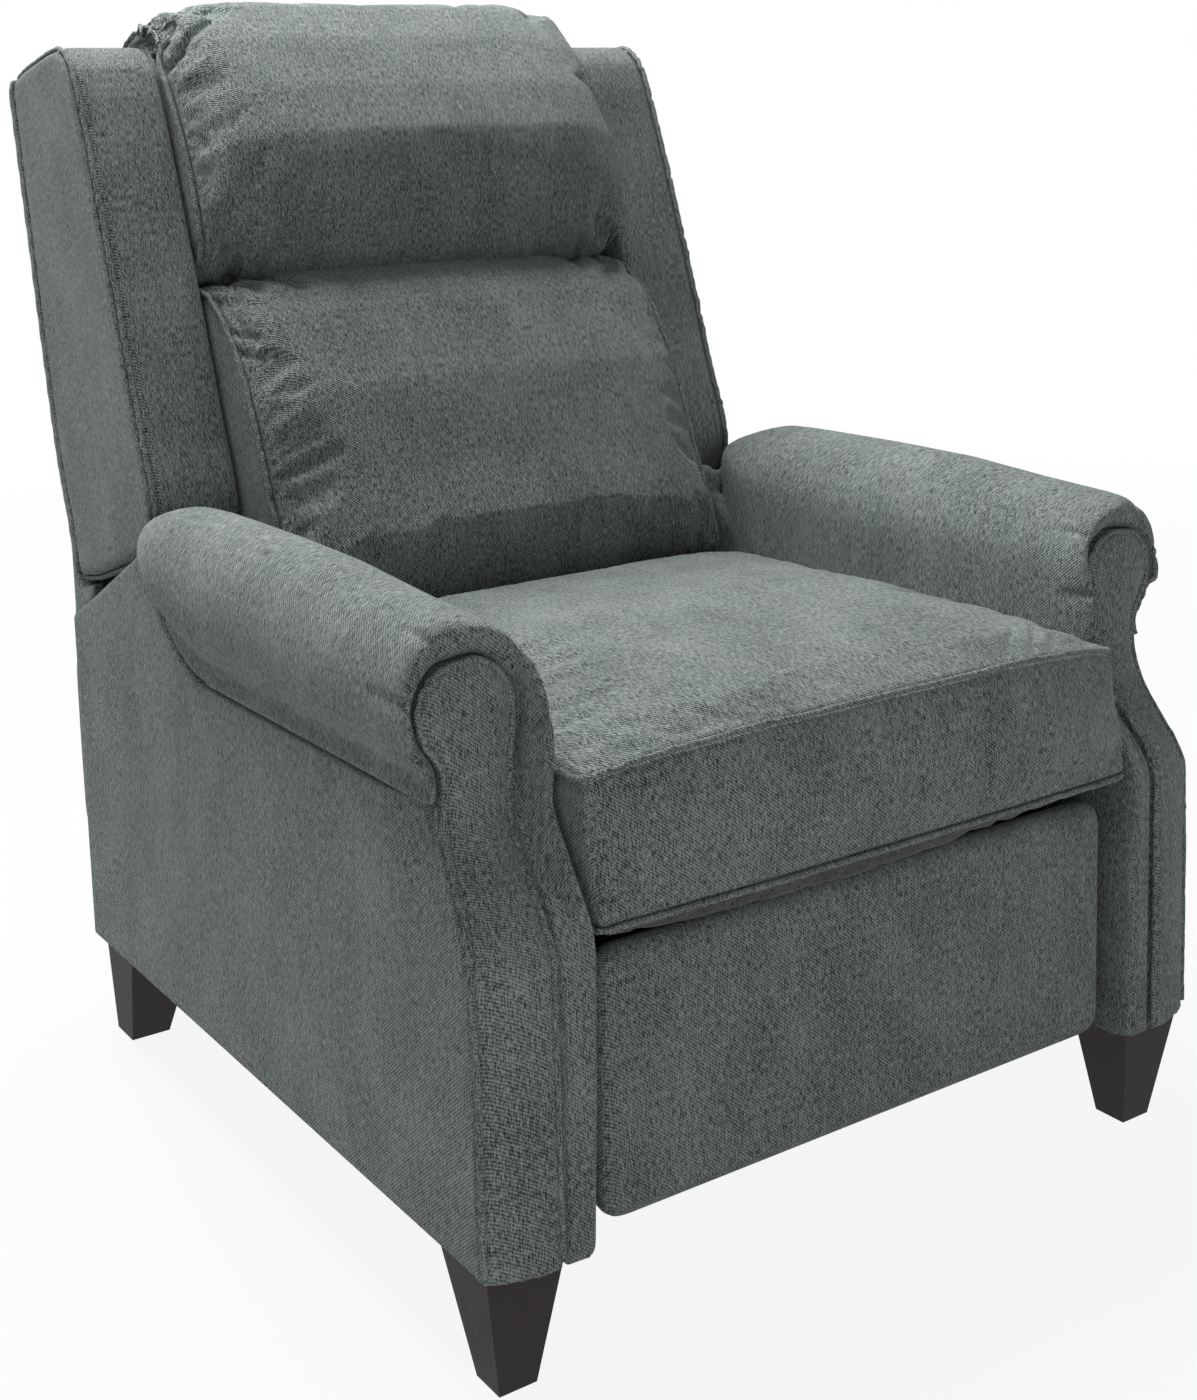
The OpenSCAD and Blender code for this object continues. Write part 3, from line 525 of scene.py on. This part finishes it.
def lean_map(lean):
    def place(p, face):
        back, up = leant(p, lean)
        if abs(face.normal.x) > SIDEWAYS:
            return back, up
        return p.x, up - back if leant(face.normal, lean)[1] < UNDERSIDE else up + back
    return place


def wrap_map(piece, lean):
    """Round a piece: its width, and the length along its middle section from the rear."""
    spots = [(v.co.x, *leant(v.co, lean)) for v in piece.data.vertices]
    across, back_middle, up_middle = ((min(c) + max(c)) / 2 for c in zip(*spots))

    def angle_of(p):
        back, up = leant(p, lean)
        return math.atan2(up - up_middle, back_middle - back)

    radii = [[] for _ in range(WRAP_STEPS)]
    for x, back, up in spots:
        if abs(x - across) < MIDDLE_SECTION:
            angle = math.atan2(up - up_middle, back_middle - back)
            step = int((angle + math.pi) / math.tau * WRAP_STEPS) % WRAP_STEPS
            radii[step].append(math.hypot(up - up_middle, back - back_middle))
    rim, radius = [], 0.1
    for step, found in enumerate(radii):
        radius = sum(found) / len(found) if found else radius
        angle = (step + 0.5) / WRAP_STEPS * math.tau
        rim.append(Vector((math.cos(angle), math.sin(angle))) * radius)
    marks = [0.0]
    for a, b in zip(rim, rim[1:] + rim[:1]):
        marks.append(marks[-1] + (b - a).length)

    def length_to(angle):
        turns, share = divmod((angle + math.pi) / math.tau * WRAP_STEPS, WRAP_STEPS)
        step = min(int(share), WRAP_STEPS - 1)
        return turns * marks[-1] + marks[step] + (share - step) * (marks[step + 1] - marks[step])

    def place(p, face):
        if abs(face.normal.x) > SIDEWAYS:
            return leant(p, lean)
        angle, middle = angle_of(p), angle_of(face.center)
        if angle - middle > math.pi:
            angle -= math.tau
        elif middle - angle > math.pi:
            angle += math.tau
        return p.x, length_to(angle)
    return place


def roll_map(p, face):
    """Round the roll of an arm and over its front. The slope towards the tongue is turned over."""
    if face.normal.y < -SIDEWAYS:
        return p.x, p.z
    inwards = ROLL_MIDDLE[0] * MM - abs(p.x)
    rise = p.z - ROLL_MIDDLE[1] * MM
    across = math.copysign(1, face.center.x) * (abs(face.center.x) - ROLL_MIDDLE[0] * MM)
    above = max(0.0, face.center.z - ROLL_MIDDLE[1] * MM)
    turned = -1 if face.normal.x * across + face.normal.z * above < 0 else 1
    if rise > 0:
        around = math.atan2(rise, inwards) * ROLL_RADIUS * MM
        return p.y + turned * math.hypot(inwards, rise), around
    return p.y + turned * abs(inwards), rise if inwards > 0 else math.pi * ROLL_RADIUS * MM - rise


UPRIGHT, LEANING = lean_map(0.0), lean_map(RAKE)


def lay_cloth(piece, place):
    mesh = piece.data
    while mesh.uv_layers:
        mesh.uv_layers.remove(mesh.uv_layers[0])
    cloth_map = mesh.uv_layers.new(name="cloth")
    for face in mesh.polygons:
        for loop in face.loop_indices:
            p = mesh.vertices[mesh.loops[loop].vertex_index].co
            cloth_map.data[loop].uv = place(p, face)


def dress(piece, body, *node_names, place=UPRIGHT, fill=0.6):
    """Cloth, body and slot; fill is not used. A piece whose cloth was laid before it was shaped has no
    place.
    """
    if place:
        lay_cloth(piece, place)
    piece.data.materials.clear()
    piece.data.materials.append(chenille)
    for face in piece.data.polygons:
        face.use_smooth = True
    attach(piece, body)
    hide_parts(*node_names)
    print(piece.name, len(piece.data.polygons), "faces")
    return piece


# %% [markdown]
# A welt is a cord 5 mm thick, sewn in a strip of the same cloth along a seam. The stitching pulls
# the padding in on both sides of it, so the path of a welt first pulls a narrow valley into the
# padding, and the cord then lies in that valley and stands a little proud. A pleat or pucker is
# the same valley without a cord, and it fades out along its length. The squares of the mesh are
# cut finer beside a path, so that a narrow valley has points to bend.

# %% Valleys, pleats and welts
WELT_RADIUS = 2.7 * MM
VALLEY_DEPTH, VALLEY_REACH = 4.4 * MM, 5.6 * MM


def smooth_path(points, step=5 * MM, rounds=2, closed=False):
    line = [Vector(p) for p in points]
    for _ in range(rounds):
        cut = []
        pairs = zip(line, line[1:] + line[:1]) if closed else zip(line, line[1:])
        for a, b in pairs:
            cut += [a.lerp(b, 0.25), a.lerp(b, 0.75)]
        line = cut if closed else [line[0]] + cut + [line[-1]]
    if closed:
        line.append(line[0].copy())
    even, left = [line[0]], step
    for a, b in zip(line, line[1:]):
        length = (b - a).length
        while length > left:
            a = a.lerp(b, left / length)
            even.append(a.copy())
            length -= left
            left = step
        left -= length
    if not closed:
        even.append(line[-1])
    return even


def path_tree(paths):
    points = [(p, i / max(1, len(path) - 1)) for path in paths for i, p in enumerate(path)]
    tree = KDTree(len(points))
    for i, (p, _) in enumerate(points):
        tree.insert(p, i)
    tree.balance()
    return tree, [share for _, share in points]


def refine(piece, paths, reach):
    """Cuts the squares near the paths into four."""
    tree, _ = path_tree(paths)
    form = bmesh.new()
    form.from_mesh(piece.data)
    near = [e for e in form.edges if tree.find((e.verts[0].co + e.verts[1].co) / 2)[2] < reach]
    bmesh.ops.subdivide_edges(form, edges=near, cuts=1, use_grid_fill=True)
    form.to_mesh(piece.data)
    form.free()


def pull_in(piece, paths, depth=VALLEY_DEPTH, reach=VALLEY_REACH, fade=False):
    """Pulls the surface in along the paths. With fade, each valley runs out at the path's end."""
    tree, shares = path_tree(paths)
    moves = []
    for v in piece.data.vertices:
        _, i, away = tree.find(v.co)
        if away < 3 * reach:
            full = (1 - shares[i]) ** 0.6 if fade else 1.0
            moves.append((v, v.normal * (-depth * full * math.exp(-((away / reach) ** 2)))))
    for v, move in moves:
        v.co += move
    piece.data.update()


def seam(piece, paths, depth=VALLEY_DEPTH):
    refine(piece, paths, 14 * MM)
    pull_in(piece, paths, depth)


def surface_of(piece):
    mesh = piece.data
    return BVHTree.FromPolygons([v.co for v in mesh.vertices], [p.vertices for p in mesh.polygons])


def settle(path, piece, lift=0.0):
    """Lays a path on a piece's surface, raised by lift."""
    tree = surface_of(piece)
    laid = []
    for p in path:
        spot, normal, _, _ = tree.find_nearest(p)
        laid.append(spot + normal * lift)
    return laid


def welt(name, path, body, closed=False, radius=WELT_RADIUS, place=UPRIGHT):
    curve = bpy.data.curves.new(name, "CURVE")
    curve.dimensions = "3D"
    curve.bevel_depth = radius
    curve.bevel_resolution = 2
    curve.use_fill_caps = True
    if closed:
        path = path[:-1]
    spline = curve.splines.new("POLY")
    spline.points.add(len(path) - 1)
    for point, spot in zip(spline.points, path):
        point.co = (*(spot + noise.noise_vector(spot * 30) * 0.3 * MM), 1)
        point.radius = 1 + 0.10 * noise.noise(spot * 60)
    spline.use_cyclic_u = closed
    shape = bpy.data.objects.new(name, curve)
    scene.collection.objects.link(shape)
    mesh = bpy.data.meshes.new_from_object(shape.evaluated_get(bpy.context.evaluated_depsgraph_get()))
    bpy.data.objects.remove(shape)
    mesh.name = name
    piece = new_piece(name, mesh)
    lay_cloth(piece, place)
    mesh.materials.clear()
    mesh.materials.append(chenille)
    for face in mesh.polygons:
        face.use_smooth = True
    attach(piece, body)
    return piece


def sewn_welt(name, path, piece, body, closed=False, place=UPRIGHT):
    """A welt in the valley that its seam has pulled into a piece."""
    return welt(name, settle(path, piece, VALLEY_DEPTH - 0.4 * MM), body, closed, place=place)


def ring_at(node_name, x, tolerance=0.3 * MM):
    """The outline of a CAD solid in the plane x, in order round its middle."""
    seen = {tuple(round(c, 5) for c in v.co) for v in frame["nodes"][node_name].data.vertices
            if abs(v.co.x - x) < tolerance}
    middle = sum((Vector(p) for p in seen), Vector()) / len(seen)
    return sorted((Vector(p) for p in seen if (Vector(p) - middle).length > 1e-3),
                  key=lambda p: math.atan2(p.z - middle.z, p.y - middle.y))


SIDES = (("left", 1), ("right", -1))
print("welt of", round(2000 * WELT_RADIUS, 1), "mm")

# %% [markdown]
# Foam and fibre press the cover outwards between its seams, and no outline drawn by hand has the
# small hollows that this gives. Blender's cloth simulation does it: the mesh gets a little larger
# than it was cut, pressure fills it, and the seams are held. Gravity is off, as the padding
# carries the cover. A point may move by no more than a cap, and stays in the space of its piece.

# %% Padding by cloth simulation
HOLD_REACH = 16 * MM
SIM_FRAMES = 20


def plump(piece, seams, node_name, pressure, ease_of_cut, cap, spare):
    """Swells a cover between its seams. spare is how far each axis may pass the CAD node's box."""
    tree, _ = path_tree(seams)
    held = piece.vertex_groups.new(name="held")
    for v in piece.data.vertices:
        grip = 1 - tree.find(v.co)[2] / HOLD_REACH
        if grip > 0:
            held.add([v.index], min(1.0, 1.6 * grip), "REPLACE")
    start = [v.co.copy() for v in piece.data.vertices]
    cover = piece.modifiers.new("cover", "CLOTH")
    cover.settings.vertex_group_mass = "held"
    cover.settings.use_pressure = True
    cover.settings.uniform_pressure_force = pressure
    cover.settings.shrink_min = -ease_of_cut
    cover.settings.effector_weights.gravity = 0
    cover.settings.quality = 4
    cover.collision_settings.use_collision = False
    for number in range(1, SIM_FRAMES + 1):
        scene.frame_set(number)
    bake(piece)
    scene.frame_set(1)
    low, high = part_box(node_name)
    low, high = low - Vector(spare), high + Vector(spare)
    farthest = 0.0
    for v, old in zip(piece.data.vertices, start):
        move = v.co - old
        farthest = max(farthest, move.length)
        if move.length > cap:
            v.co = old + move.normalized() * cap
        v.co = Vector(min(max(c, a), b) for c, a, b in zip(v.co, low, high))
    piece.data.update()
    print(piece.name, "moved by up to", round(1000 * farthest, 1), "mm")


# %% [markdown]
# The seat cushion is a foam block in a boxed cover: a top and a bottom panel joined by a band,
# with a welt along both seams. The seams rise and come forward at the middle of the front, where
# the foam is full. In front of the frame nothing carries the bottom panel, so it sags below the
# lower welt, most a little to the sitter's right of the middle. Every face below the lower welt
# takes a darker, browner copy of the chenille: painted shade, with a warm painted reflection.

# %% Seat cushion
HALF_SEAT = 288
BOW = 4.5
SAG, SAG_BELOW, SAG_REAR = 7.5 * MM, 364, 64
SAG_FROM, SAG_TO = -286, 190
SAG_FADE, SAG_RISE = 16, 7
FRONT_STEPS = (-1, -0.985, -0.95, -0.9, -0.78, -0.6, -0.35, 0, 0.35, 0.6, 0.78, 0.9, 0.95, 0.985, 1)


def cushion_seam(corner_y, corner_z, forward, rise, rear=540):
    """A seam from the rear on one side, round the front and back: it bows forward and up."""
    front = []
    for t in FRONT_STEPS:
        bow = 1 - abs(t) ** BOW
        front.append((t * HALF_SEAT, corner_y - forward * bow, corner_z + rise * bow))
    side = [(HALF_SEAT, y, corner_z) for y in (60, 120, 250, 400, rear)]
    return smooth_path([at(-x, y, z) for x, y, z in reversed(side)] + [at(*p) for p in front]
                       + [at(*p) for p in side], rounds=2)


def sag_front(cushion):
    """Lets the bottom panel hang where it sticks out in front of the seat frame."""
    for v in cushion.data.vertices:
        x, y, z = v.co.x / MM, (v.co.y - front_plane) / MM, v.co.z / MM
        across = (x - SAG_FROM) / (SAG_TO - SAG_FROM)
        if 0 < across < 1 and z < SAG_BELOW and y < SAG_REAR:
            full = math.sin(math.pi * across) ** 0.7
            full *= min(1.0, (SAG_REAR - y) / SAG_FADE) * min(1.0, (SAG_BELOW - z) / SAG_RISE)
            v.co.z -= SAG * full
            v.co.y -= 0.3 * SAG * full
    cushion.data.update()


seat = soft_piece("seat_cushion_cover", "seat_cushion")
seat_seams = [cushion_seam(corner_y=21, corner_z=481, forward=26, rise=20),
              cushion_seam(corner_y=2, corner_z=366, forward=8.7, rise=4)]
plump(seat, seat_seams, "seat_cushion", pressure=3.0, ease_of_cut=0.02, cap=9 * MM,
      spare=(0, 5 * MM, 4 * MM))
seam(seat, seat_seams)
sag_front(seat)
dress(seat, "seat", "seat_cushion", place=wrap_map(seat, 0.0), fill=0.8)
# The faces below the lower welt take the darker, browner chenille: painted shade, with a warm painted
# reflection.
seat.data.materials.append(shaded_underside_chenille)
for face in seat.data.polygons:
    face.material_index = int(face.center.z < (SAG_BELOW + 1) * MM)
for level, path in zip(("top", "low"), seat_seams):
    sewn_welt(f"seat_welt_{level}", path, seat, "seat")

# %% [markdown]
# The front board of the seat shows through the gap over the footrest, so it is wrapped in black
# lining. The strip is drawn in the plan view, round the front of the frame from one side to the
# other, is extruded down the board and gets its thickness.

# %% Lining on the front of the seat frame
LINING = 1.2 * MM
SIDE_RETURN = 26 * MM
board_low, board_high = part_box("seat_frame")
strip = bmesh.new()
turned_back = board_low.y + SIDE_RETURN
turns = [(board_low.x, turned_back), (board_low.x, board_low.y), (board_high.x, board_low.y),
         (board_high.x, turned_back)]
line = [strip.verts.new((x, y, board_high.z)) for x, y in turns]
edges = [strip.edges.new(pair) for pair in zip(line, line[1:])]
drawn = bmesh.ops.extrude_edge_only(strip, edges=edges)
lower = [v for v in drawn["geom"] if isinstance(v, bmesh.types.BMVert)]
strip_height = board_high.z - board_low.z
bmesh.ops.translate(strip, verts=lower, vec=(0, 0, -strip_height))
bmesh.ops.recalc_face_normals(strip, faces=strip.faces)
if sum(f.normal.y for f in strip.faces) > 0:
    bmesh.ops.reverse_faces(strip, faces=strip.faces)
bmesh.ops.solidify(strip, geom=strip.faces[:], thickness=-LINING)
lining_mesh = bpy.data.meshes.new("seat_front_lining")
strip.to_mesh(lining_mesh)
strip.free()
lining_mesh.materials.append(lining)
front_lining = new_piece("seat_front_lining", lining_mesh)
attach(front_lining, "seat")

# %% [markdown]
# The two pillows are softer: fibre in a cover with boxed ends, and a welt round each end. The
# head pillow's cover is gathered at its lower corners and pinched at its upper right one. Each
# gather is a short valley that starts near the welt and fades out into the front. One fold of the
# list is negative, and stands out as the corner's loose cloth does.

# %% Head and lumbar pillows
PILLOW_END = 261
FOLD_STEP = 2 * MM
CUT_BESIDE = 5


def on_pillow(sign, points):
    """A path on a pillow: each point is a distance in from its end, a height and a depth."""
    spots = [on_back(sign * (PILLOW_END - inwards), up, out) for inwards, up, out in points]
    return smooth_path(spots, FOLD_STEP)


# Each fold is its depth, its reach and its path, from the deep end.
GATHERS = {
    "head_pillow": {
        "left": [(4.5, 9, [(24, 300, 135), (24, 323, 152), (26, 352, 165), (20, 384, 160)]),
                 (10, 8, [(40, 284, 104), (34, 293, 124), (41, 302, 145), (40, 318, 157), (46, 340, 168)]),
                 (9, 8, [(58, 284, 104), (62, 289, 120), (72, 298, 136)]),
                 (3, 14, [(120, 284, 110), (122, 300, 140)]), (3, 16, [(210, 283, 108), (206, 300, 140)])],
        "right": [(15, 30, [(-2, 560, 96), (8, 562, 106), (26, 572, 112)]),
                  (-6, 13, [(6, 284, 84), (26, 282, 90), (36, 284, 92)]),
                  (9, 5, [(1, 502, 126), (16, 512, 133), (38, 530, 137), (61, 544, 136), (88, 555, 133)]),
                  (7, 5, [(1, 533, 106), (10, 537, 118), (24, 549, 121), (49, 566, 121), (76, 574, 118)]),
                  (9, 7, [(44, 282, 70), (42, 283, 94), (43, 291, 123), (52, 304, 144)]),
                  (4, 9, [(2, 300, 128), (18, 316, 148), (30, 342, 160)]),
                  (3, 14, [(110, 284, 110), (112, 300, 140)])]},
    "lumbar_pillow": {
        "left": [(5, 7, [(0, 246, 124), (22, 236, 150), (44, 224, 166)])],
        "right": [(7, 4, [(0, 206, 146), (12, 198, 156), (26, 188, 168)]),
                  (6, 4, [(0, 182, 152), (12, 174, 162), (24, 166, 171)]),
                  (5, 7, [(0, 244, 126), (18, 234, 148), (40, 222, 164)])]}}

for pillow_node, gathers in GATHERS.items():
    pillow = soft_piece(f"{pillow_node}_cover", pillow_node)
    loops = {side: smooth_path(ring_at(pillow_node, sign * PILLOW_END * MM), closed=True)
             for side, sign in SIDES}
    plump(pillow, loops.values(), pillow_node, pressure=4.0, ease_of_cut=0.05, cap=12 * MM,
          spare=(0, 3 * MM, 2 * MM))
    seam(pillow, loops.values())
    for side, sign in SIDES:
        for depth, reach, points in gathers[side]:
            fold = settle(on_pillow(sign, points), pillow)
            refine(pillow, [fold], (reach + CUT_BESIDE) * MM)
            pull_in(pillow, [fold], depth * MM, reach * MM, fade=True)
    dress(pillow, "back", pillow_node, place=wrap_map(pillow, RAKE), fill=0.7)
    for side, loop in loops.items():
        sewn_welt(f"{pillow_node}_welt_{side}", loop, pillow, "back", closed=True, place=LEANING)

# %% [markdown]
# The wings are boards padded on both faces. A welt runs up the front edge of the outer face,
# over the top and along the lower edge, where the inner cover meets the outer one.

# %% Wings
REAR_ABOVE, REAR_BEHIND = 40, -50
RING_INSET = 7 * MM


def up_and_out(p):
    """Height up the inner back plane, and distance in front of it, in millimetres."""
    y = (p.y - front_plane) / MM - BACK_FOOT[0]
    z = p.z / MM - BACK_FOOT[1]
    return (y * math.sin(RAKE) + z * math.cos(RAKE), z * math.sin(RAKE) - y * math.cos(RAKE))


def is_rear(p):
    up, out = up_and_out(p)
    return up > REAR_ABOVE and out < REAR_BEHIND


for side, sign in SIDES:
    wing = soft_piece(f"{side}_wing_cover", f"{side}_wing")
    outer = max(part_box(f"{side}_wing"), key=lambda corner: sign * corner.x).x
    ring = ring_at(f"{side}_wing", outer - sign * RING_INSET)
    first = next(i for i, p in enumerate(ring) if not is_rear(p) and is_rear(ring[i - 1]))
    path = smooth_path([p for p in ring[first:] + ring[:first] if not is_rear(p)])
    seam(wing, [path])
    dress(wing, "back", f"{side}_wing", place=LEANING)
    sewn_welt(f"{side}_wing_welt", path, wing, "back", place=LEANING)

# %% [markdown]
# The outside back is one padded panel that wraps round the edges of the frame.

# %% Outside back
back_cover = soft_piece("outside_back_cover", "outside_back", voxel=6 * MM, rounds=4)
dress(back_cover, "back", "outside_back", place=LEANING)

# %% [markdown]
# An arm is covered in three parts. One cloth runs up the inner side, over the roll and down to the
# border beside the tongue, so those three solids are joined before they are softened. The tongue
# is a padded board with a welt all round it, and the side panel is drawn in to its neck. Round
# the head of the tongue, the cloth of the roll is laid in pleats. The border beside the tongue is
# padded out, so that it stands forward of it on the inner side.

# %% Arms
HEAD_MIDDLE, HEAD_RADIUS = (355, 533), 43
SIDE_FACE = 390 * MM
BOARD_EDGE = 10 * MM
WELT_FROM_FOOT = 6 * MM
WELT_LIFT = 1.4 * MM
TONGUE_VALLEY = 2.4 * MM

# Each pleat is at an angle round the tongue's head: a wide fold, and a sharper one inside it.
PLEATS = (-125, -74, -25, 48, 100)
PLEAT_FOLDS = ((2.6 * MM, 8 * MM), (3.4 * MM, 3.2 * MM))
PLEAT_CUTS = (9 * MM, 6 * MM)
PLEAT_STEPS, PLEAT_BACK = (9, 11, 13), (14, 26)
PLEAT_SPACING = 1.5 * MM
FRONT_OF_BAND = 125

# The solids' band curves back by SWEEP over a height. The real one is fuller: each row of the
# table is a height, and how far the band comes forward there.
SWEEP, SWEEP_FROM, SWEEP_HEIGHT = 72, 355, 110
PADDING = ((0, 4), (120, 4), (240, 12), (357, 17), (391, 22), (430, 33), (520, 33), (560, 24), (700, 20))
INNER_FACE, BAND = 290, 25
ROLL_FROM, ROLL_RISE = 480, 40
FILLED_FROM, FILLED_DEPTH = 10, 70
OUTER_FROM, OUTER_WIDTH, OUTER_LEFT_OUT = 10, 30, 0.6
NECK_TOP, NECK_HEIGHT = 540, 60

DRAWN_FROM, DRAWN_DEPTH, DRAWN_GAP = 14 * MM, 70 * MM, 1 * MM
LIP, LIP_START = 11 * MM, 0.7


def tongue_rim(side):
    """The front edge of the tongue's solid, from its outer foot over the head to its inner foot."""
    columns = {}
    for v in frame["nodes"][f"{side}_arm_front"].data.vertices:
        columns.setdefault((round(v.co.x, 4), round(v.co.z, 4)), []).append(v.co.y)
    rim = [Vector((x, min(ys), z)) for (x, z), ys in columns.items() if max(ys) - min(ys) > BOARD_EDGE]
    outer = sorted((p for p in rim if abs(p.x) > HEAD_MIDDLE[0] * MM), key=lambda p: p.z)
    inner = sorted((p for p in rim if abs(p.x) <= HEAD_MIDDLE[0] * MM), key=lambda p: -p.z)
    return outer, inner


def pleat_path(sign, angle, cover):
    """From the welt outwards over the band and back along the roll."""
    turn = math.radians(angle)
    tree = surface_of(cover)
    points = []
    for reach in PLEAT_STEPS:
        radius = HEAD_RADIUS + reach * (1 + 0.3 * max(0, math.cos(turn)))
        x, z = HEAD_MIDDLE[0] - math.sin(turn) * radius, HEAD_MIDDLE[1] + math.cos(turn) * radius
        spot = tree.ray_cast(at(sign * x, -60, z), Vector((0, 1, 0)))[0]
        if spot is not None and spot.y < at(0, FRONT_OF_BAND, 0).y:
            points.append(spot)
    outwards = Vector((-sign * math.sin(turn), 0, math.cos(turn))) * 3 * MM
    for back in PLEAT_BACK:
        beyond = points[-1] + outwards + Vector((0, back * MM, 0))
        points.append(tree.find_nearest(beyond)[0])
    return settle(smooth_path(points, PLEAT_SPACING), cover)


def fill_band(cover):
    """Pads the band round the tongue: its front comes forward, most at the inner side of the arm."""
    for v in cover.data.vertices:
        x, y, z = abs(v.co.x) / MM, (v.co.y - front_plane) / MM, v.co.z / MM
        behind = y - SWEEP * eased((z - SWEEP_FROM) / SWEEP_HEIGHT)
        level = min(1.0, max(0.0, (z - ROLL_FROM) / ROLL_RISE))
        below = x - INNER_FACE
        above = ROLL_RADIUS - math.hypot(x - ROLL_MIDDLE[0], z - ROLL_MIDDLE[1])
        inset = eased((below * (1 - level) + above * level) / BAND)
        depth = eased((behind - FILLED_FROM) / FILLED_DEPTH)
        push = next(a + (b - a) * (z - low) / (high - low) for (low, a), (high, b)
                    in zip(PADDING, PADDING[1:]) if z <= high)
        outer = eased((x - ROLL_MIDDLE[0] + OUTER_FROM) / OUTER_WIDTH)
        neck = eased((NECK_TOP - z) / NECK_HEIGHT)
        push *= 1 - outer * (OUTER_LEFT_OUT + (1 - OUTER_LEFT_OUT) * neck)
        v.co.y -= push * MM * (1 - inset) * (1 - depth)
    cover.data.update()


def draw_side_in(cover, outer):
    """Draws the front of the side panel in to the neck of the tongue, and forward to its welt."""
    for v in cover.data.vertices:
        if abs(v.co.x) < SIDE_FACE - 6 * MM:
            continue
        z = min(max(v.co.z, outer[0].z), outer[-1].z)
        k = next((i for i, p in enumerate(outer) if p.z >= z), len(outer) - 1)
        a, b = outer[max(0, k - 1)], outer[k]
        share = (z - a.z) / (b.z - a.z) if b.z > a.z else 0.0
        rim = a.lerp(b, min(1.0, max(0.0, share)))
        near = eased(1 - (v.co.y - rim.y - DRAWN_FROM) / DRAWN_DEPTH)
        inset = max(0.0, SIDE_FACE - abs(rim.x) - DRAWN_GAP)
        v.co.x -= math.copysign(inset * near, v.co.x)
        v.co.y -= LIP * max(0.0, near - LIP_START) / (1 - LIP_START)
    cover.data.update()


for side, sign in SIDES:
    outer, inner = tongue_rim(side)
    rim = [p for p in smooth_path(outer + inner, 4 * MM) if p.z > outer[0].z + WELT_FROM_FOOT]
    arm_nodes = (f"{side}_arm_roll", f"{side}_inner_arm", f"{side}_arm_border")
    arm = soft_piece(f"{side}_arm_cover", *arm_nodes, voxel=4 * MM, rounds=5)
    fill_band(arm)
    lay_cloth(arm, roll_map)
    seam(arm, [rim])
    pleats = [pleat_path(sign, angle, arm) for angle in PLEATS]
    for reach in PLEAT_CUTS:
        refine(arm, pleats, reach)
    for depth, reach in PLEAT_FOLDS:
        pull_in(arm, pleats, depth, reach, fade=True)
    dress(arm, "base", *arm_nodes, place=None)

    tongue = soft_piece(f"{side}_arm_front_cover", f"{side}_arm_front", voxel=3.5 * MM, rounds=3)
    seam(tongue, [rim], TONGUE_VALLEY)
    dress(tongue, "base", f"{side}_arm_front")
    welt(f"{side}_arm_front_welt", settle(rim, tongue, WELT_LIFT), "base")

    panel = soft_piece(f"{side}_side_panel_cover", f"{side}_side_panel", voxel=5 * MM, rounds=3)
    draw_side_in(panel, outer)
    dress(panel, "base", f"{side}_side_panel")

# %% [markdown]
# The footrest is a board with a soft pad that wraps round its edges.

# %% Footrest
pad = soft_piece("foot_pad_cover", "foot_pad")
dress(pad, "footrest", "foot_pad")
